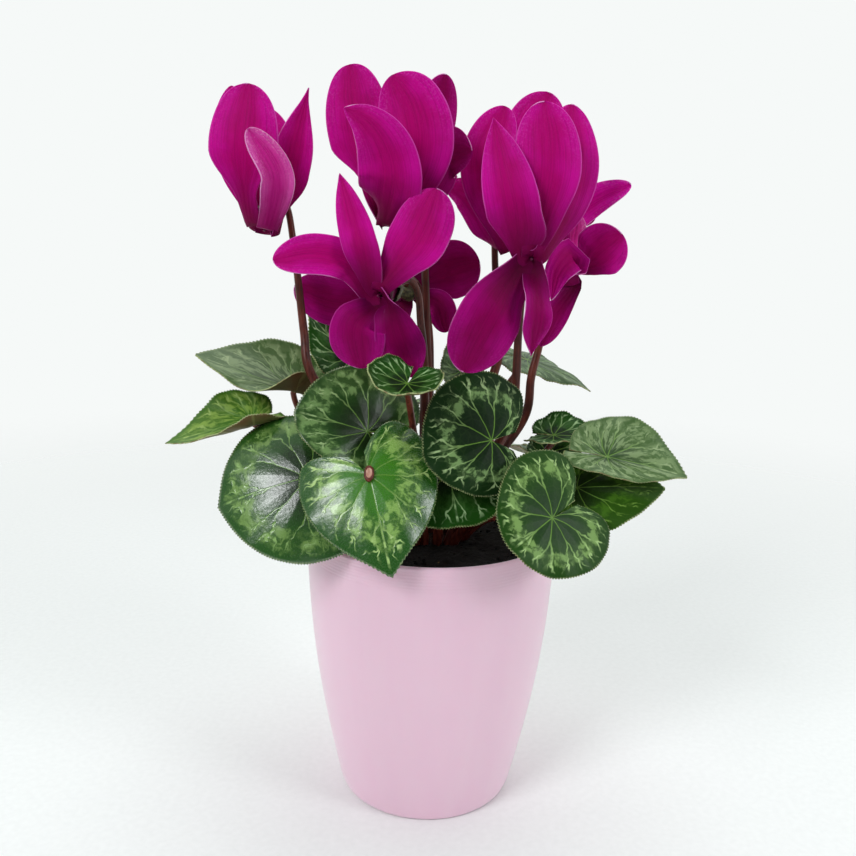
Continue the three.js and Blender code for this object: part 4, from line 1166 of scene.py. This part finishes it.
class CYCLAMEN_OT_compost(bpy.types.Operator):
    """Fills the pot with crumbly compost and strews loose crumbs on it"""

    bl_idname = "cyclamen.compost"
    bl_label = "Compost"

    def execute(self, context):
        pot = context.scene.cyclamen_pot

        def side(z):
            return (pot_radius(pot, z * MM) - pot.wall) / MM - 0.6

        outline = [(38, 4.2), (side(6) - 2, 4.6), *((side(z), z) for z in range(7, 134, 14))]
        outline += [(side(134.4), 134.4), (side(135) - 1, 135.2)]
        outline += [(r, COMPOST_LEVEL + COMPOST_MOUND * smooth(COMPOST_EDGE - r, 0, 26))
                    for r in range(COMPOST_EDGE, 1, -2)]
        outline += [(0, COMPOST_LEVEL + COMPOST_MOUND)]
        bed = turned("compost", outline, 120)
        # Hummocks about 11 mm apart and crumbs about 2.4 mm apart roughen the top.
        for vertex in bed.data.vertices:
            if vertex.co.z > 134.5 * MM:
                low = noise.noise(vertex.co * 90) * 1.6 * MM
                fine = noise.noise(vertex.co * 420) * 1.1 * MM
                vertex.co.z += low + fine
        soil = potting_compost()
        dress(bed, soil)
        rng = random.Random(4)
        crumbs = []
        put_down()
        bpy.ops.mesh.primitive_ico_sphere_add(subdivisions=1, radius=1)
        first = bpy.context.object
        for _ in range(CRUMBS):
            out = math.sqrt(rng.random()) * CRUMB_REACH
            turn = rng.random() * 2 * math.pi
            size = rng.uniform(0.5, 1.7) * MM
            crumb = first.copy()
            crumb.data = first.data.copy()
            context.scene.collection.objects.link(crumb)
            squash = Matrix.Diagonal((size, size * rng.uniform(0.5, 1), size * rng.uniform(0.4, 0.8), 1))
            lean = Matrix.Rotation(rng.random() * 6.28, 4, V((rng.random(), rng.random(), 1)).normalized())
            spot = V((math.cos(turn) * out, math.sin(turn) * out, COMPOST_LEVEL + rng.uniform(-0.4, 2.4)))
            crumb.data.transform(Matrix.Translation(spot * MM) @ lean @ squash)
            crumbs.append(crumb)
        bpy.data.objects.remove(first)
        loose = join("loose_crumbs", crumbs)
        dress(loose, soil)
        for piece in (bed, loose):
            hand_over(piece, "compost", "soil")
        return {"FINISHED"}


class CYCLAMEN_OT_tuber(bpy.types.Operator):
    """Turns the flat round tuber and roughens its corky skin"""

    bl_idname = "cyclamen.tuber"
    bl_label = "Tuber"

    def execute(self, context):
        middle, half = TUBER_TOP - TUBER_HEIGHT / 2, TUBER_HEIGHT / 2
        outline = [(4, middle - half)]
        for i in range(-14, 15):
            share = i / 15
            outline.append((TUBER_RADIUS * math.sqrt(1 - share**2), middle + share * half))
        outline += [(4, TUBER_TOP - 1.0), (0, TUBER_TOP - 1.6)]
        piece = turned("tuber", outline, 72)
        for vertex in piece.data.vertices:
            grown = noise.noise(vertex.co * 130) * 1.2 + noise.noise(vertex.co * 500) * 0.4
            vertex.co += vertex.normal * grown * MM
        dress(piece, corky_skin())
        hand_over(piece, "red_stalk", "tuber_and_leaf_stalks")
        return {"FINISHED"}


class CYCLAMEN_OT_leaf_stalks(bpy.types.Operator):
    """Bends a red stalk from the tuber's crown to each blade"""

    bl_idname = "cyclamen.leaf_stalks"
    bl_label = "Leaf stalks"

    def execute(self, context):
        middle = context.scene.cyclamen_plant.leaf_stalk / MM
        stalks = []
        for i, leaf in enumerate(LEAVES):
            points = stalk_way(leaf)
            last = len(points) - 1
            radii = [middle * (1.3 - 0.55 * smooth(k / last, 0.0, 0.9)) for k in range(last + 1)]
            radii[-1] *= 1.15
            stalks.append(rod(f"stalk_{i}", points, radii))
        piece = join("leaf_stalks", stalks)
        dress(piece, stalk_skin("waxy_leaf_stalk_red", "5A2019", "8E4636"))
        hand_over(piece, "red_stalk", "tuber_and_leaf_stalks")
        return {"FINISHED"}


class CYCLAMEN_OT_stalk_end(bpy.types.Operator):
    """Sets the pink end of a stalk that shows on the blade whose lobes close over it"""

    bl_idname = "cyclamen.stalk_end"
    bl_label = "Stalk end"

    def execute(self, context):
        leaf = next(leaf for leaf in LEAVES if leaf.stalk_end)
        _, along, out, _ = blade_axes(leaf)
        outline = [(1.2, -0.6), (1.7, -0.4), (1.9, 0.3), (1.8, 0.9), (1.5, 1.2), (1.15, 1.15), (0.8, 0.8),
                   (0.4, 0.7), (0, 0.75)]
        sides = 24
        piece = turned("stalk_end", outline, sides)
        piece.data.transform(Matrix.Diagonal((1.25, 2.1, 1.2, 1)))
        aim(piece, V(leaf.joint) + out * 0.9 - along * 0.6, out)
        # The rim is red-brown, and the middle, which is the last three rings, pale pink.
        dress(piece, stalk_skin("waxy_stalk_rim_red", "4A1410", "7E3A2C"),
              stalk_skin("stalk_core_pink", "B98672", "D9AE98"))
        for face in piece.data.polygons:
            face.material_index = int(face.index >= len(piece.data.polygons) - sides * 3)
        hand_over(piece, "red_stalk", "tuber_and_leaf_stalks")
        return {"FINISHED"}


class CYCLAMEN_OT_leaves(bpy.types.Operator):
    """Shapes each heart-shaped blade with its toothed edge, and gives it its marbled skin"""

    bl_idname = "cyclamen.leaves"
    bl_label = "Leaves"

    def execute(self, context):
        sizes = context.scene.cyclamen_plant
        under, edge = leaf_underside(), leaf_margin()
        skins = {kind: (leaf_skin(kind, *look), under, edge) for kind, look in SKINS.items()}
        for i, leaf in enumerate(LEAVES, 1):
            piece = blade(f"blade_{i:02d}", leaf, i, sizes, skins[leaf.skin])
            hand_over(piece, "leaf_green", f"leaf_{i:02d}")
        return {"FINISHED"}


class CYCLAMEN_OT_blooms(bpy.types.Operator):
    """Sweeps the five petals of each flower back from its mouth, and turns the tube behind them"""

    bl_idname = "cyclamen.blooms"
    bl_label = "Flowers"

    def execute(self, context):
        sizes = context.scene.cyclamen_plant
        face = petal_skin("petal_velvet_deep", "680236", "B2026E", "CC0A98", "DC54BC", 0.3)
        # A darker copy of the velvet: painted shade, for petals that hang low or lie at the back of the
        # plant.
        painted_shade_velvet = petal_skin("petal_velvet_painted_shade", "4E0128", "8A0052", "AA067C", "C03C9C", 0.25)
        # A lighter copy of the velvet with more pale flecks: painted light, for petals turned up towards
        # the lamps.
        bright = petal_skin("petal_velvet_lit", "78023E", "CC0292", "E616BA", "F07CD6", 0.6)
        pale = petal_skin("petal_velvet_pale", "8A0456", "C8228E", "E056B4", "F6B8E0", 0.9)
        edge = petal_skin("petal_edge_lilac", "A02A80", "C850A8", "D870BC", "EEA0D8", 0.3)
        # Lit and bright petals take the painted-light copy, on the face alone or on both sides, and shaded
        # petals take the painted-shade copy.
        skins = {
            "deep": (face, face, edge), "lit": (bright, face, edge), "bright": (bright, bright, edge),
            "pale": (pale, pale, edge), "dusky": (painted_shade_velvet, painted_shade_velvet, edge),
        }
        tube_skin = stalk_skin("tube_dark_crimson", "3A0720", "6E0A44")
        for i, bloom in enumerate(BLOOMS, 1):
            pieces = [flower_tube(f"tube_{i}", bloom, tube_skin)]
            for k, petal in enumerate(bloom.petals):
                seed = i * 2.3 + k * 1.9
                pieces.append(petal_sheet(f"petal_{i}_{k}", bloom, k, seed, sizes, skins[petal.skin]))
            hand_over(join(f"flower_{i}", pieces), "petal_magenta", f"bloom_{i}")
        return {"FINISHED"}


class CYCLAMEN_OT_bloom_stalks(bpy.types.Operator):
    """Bends each flower stalk down to the tuber and sets its calyx"""

    bl_idname = "cyclamen.bloom_stalks"
    bl_label = "Flower stalks"

    def execute(self, context):
        green = sepal_skin()
        skin = stalk_skin("waxy_flower_stalk_brown", "3E1A15", "6E3428")
        middle = context.scene.cyclamen_plant.bloom_stalk / MM
        shares = [k / BLOOM_STALK_STEPS for k in range(BLOOM_STALK_STEPS + 1)]
        radii = [middle * between(0.72, 1.12, smooth(share, 0.05, 0.7)) for share in shares]
        for i, bloom in enumerate(BLOOMS, 1):
            line = bloom_stalk_way(bloom)
            points = [line.at(share)[0] for share in shares]
            stalk = rod(f"neck_{i}", points, radii, 16)
            dress(stalk, skin)
            piece = join(f"flower_stalk_{i}", [stalk, calyx(f"calyx_{i}", bloom, green)])
            hand_over(piece, "red_stalk", f"bloom_stalk_{i}")
        return {"FINISHED"}


class CYCLAMEN_OT_studio(bpy.types.Operator):
    """Lays the pale floor and sets the camera, the soft lights and the room's light"""

    bl_idname = "cyclamen.studio"
    bl_label = "Studio"

    def execute(self, context):
        studio = context.scene.cyclamen_studio
        floor = turned("studio_floor", [(radius, -0.02) for radius in (200, 1000, 4000, 9000)], 96)
        dress(floor, studio_paper())

        down = V((0, math.cos(studio.pitch), -math.sin(studio.pitch)))
        level = V((1, 0, 0))
        up = level.cross(down)
        right = level * math.cos(studio.roll) + up * math.sin(studio.roll)
        top = up * math.cos(studio.roll) - level * math.sin(studio.roll)
        seat = Matrix((right, top, -down)).transposed().to_4x4()
        put_down()
        bpy.ops.object.camera_add()
        camera = bpy.context.object
        camera.matrix_world = Matrix.Translation(studio.place) @ seat
        camera.data.lens = studio.lens
        camera.data.sensor_width = 36
        camera.data.clip_start = 0.01
        camera.data.dof.use_dof = False
        context.scene.camera = camera

        # Soft lamps: the name, place, width, share of the main light's power and colour of each.
        daylight, white, aim_at = (0.97, 0.99, 1.0), (1.0, 1.0, 1.0), V((0, 0, 0.2))
        for name, spot, size, share, shade in (
            ("window_left", (-0.85, -1.05, 1.15), 0.6, 1.0, daylight),
            ("window_right", (1.15, -0.7, 0.85), 0.5, 0.5, daylight),
            ("overhead", (0.1, 0.5, 1.7), 1.2, 0.45, white),
        ):
            bpy.ops.object.light_add(type="AREA", location=spot)
            light = bpy.context.object
            light.name = name
            light.data.size = size
            light.data.energy = studio.key_power * share
            light.data.color = shade
            light.rotation_euler = (aim_at - V(spot)).to_track_quat("-Z", "Y").to_euler()
        context.scene.world = lit_room(studio.sky)
        context.scene.view_settings.view_transform = "Standard"
        context.scene.view_settings.look = "None"
        return {"FINISHED"}


class CYCLAMEN_PT_sidebar(bpy.types.Panel):
    """Lists the plant's pieces and sizes in the sidebar"""

    bl_idname = "CYCLAMEN_PT_sidebar"
    bl_label = "Potted cyclamen"
    bl_space_type = "VIEW_3D"
    bl_region_type = "UI"
    bl_category = "Cyclamen"

    def draw(self, context):
        for group in ("cyclamen_pot", "cyclamen_plant", "cyclamen_studio"):
            box = self.layout.box()
            sizes = getattr(context.scene, group)
            for key in sizes.__annotations__:
                box.prop(sizes, key)
        for operator in OPERATORS:
            self.layout.operator(operator.bl_idname)


OPERATORS = (
    CYCLAMEN_OT_pot,
    CYCLAMEN_OT_compost,
    CYCLAMEN_OT_tuber,
    CYCLAMEN_OT_leaf_stalks,
    CYCLAMEN_OT_stalk_end,
    CYCLAMEN_OT_leaves,
    CYCLAMEN_OT_blooms,
    CYCLAMEN_OT_bloom_stalks,
    CYCLAMEN_OT_studio,
)
GROUPS = {"cyclamen_pot": CyclamenPot, "cyclamen_plant": CyclamenPlant, "cyclamen_studio": CyclamenStudio}


def register():
    for made in (*GROUPS.values(), *OPERATORS, CYCLAMEN_PT_sidebar):
        bpy.utils.register_class(made)
    for name, group in GROUPS.items():
        setattr(bpy.types.Scene, name, bpy.props.PointerProperty(type=group))


def unregister():
    for name in GROUPS:
        delattr(bpy.types.Scene, name)
    for made in (CYCLAMEN_PT_sidebar, *reversed(OPERATORS), *reversed(GROUPS.values())):
        bpy.utils.unregister_class(made)


def main():
    register()
    bpy.ops.cyclamen.pot()
    bpy.ops.cyclamen.compost()
    bpy.ops.cyclamen.tuber()
    bpy.ops.cyclamen.leaf_stalks()
    bpy.ops.cyclamen.stalk_end()
    bpy.ops.cyclamen.leaves()
    bpy.ops.cyclamen.blooms()
    bpy.ops.cyclamen.bloom_stalks()
    bpy.ops.cyclamen.studio()
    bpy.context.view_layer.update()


if __name__ == "__main__":
    main()
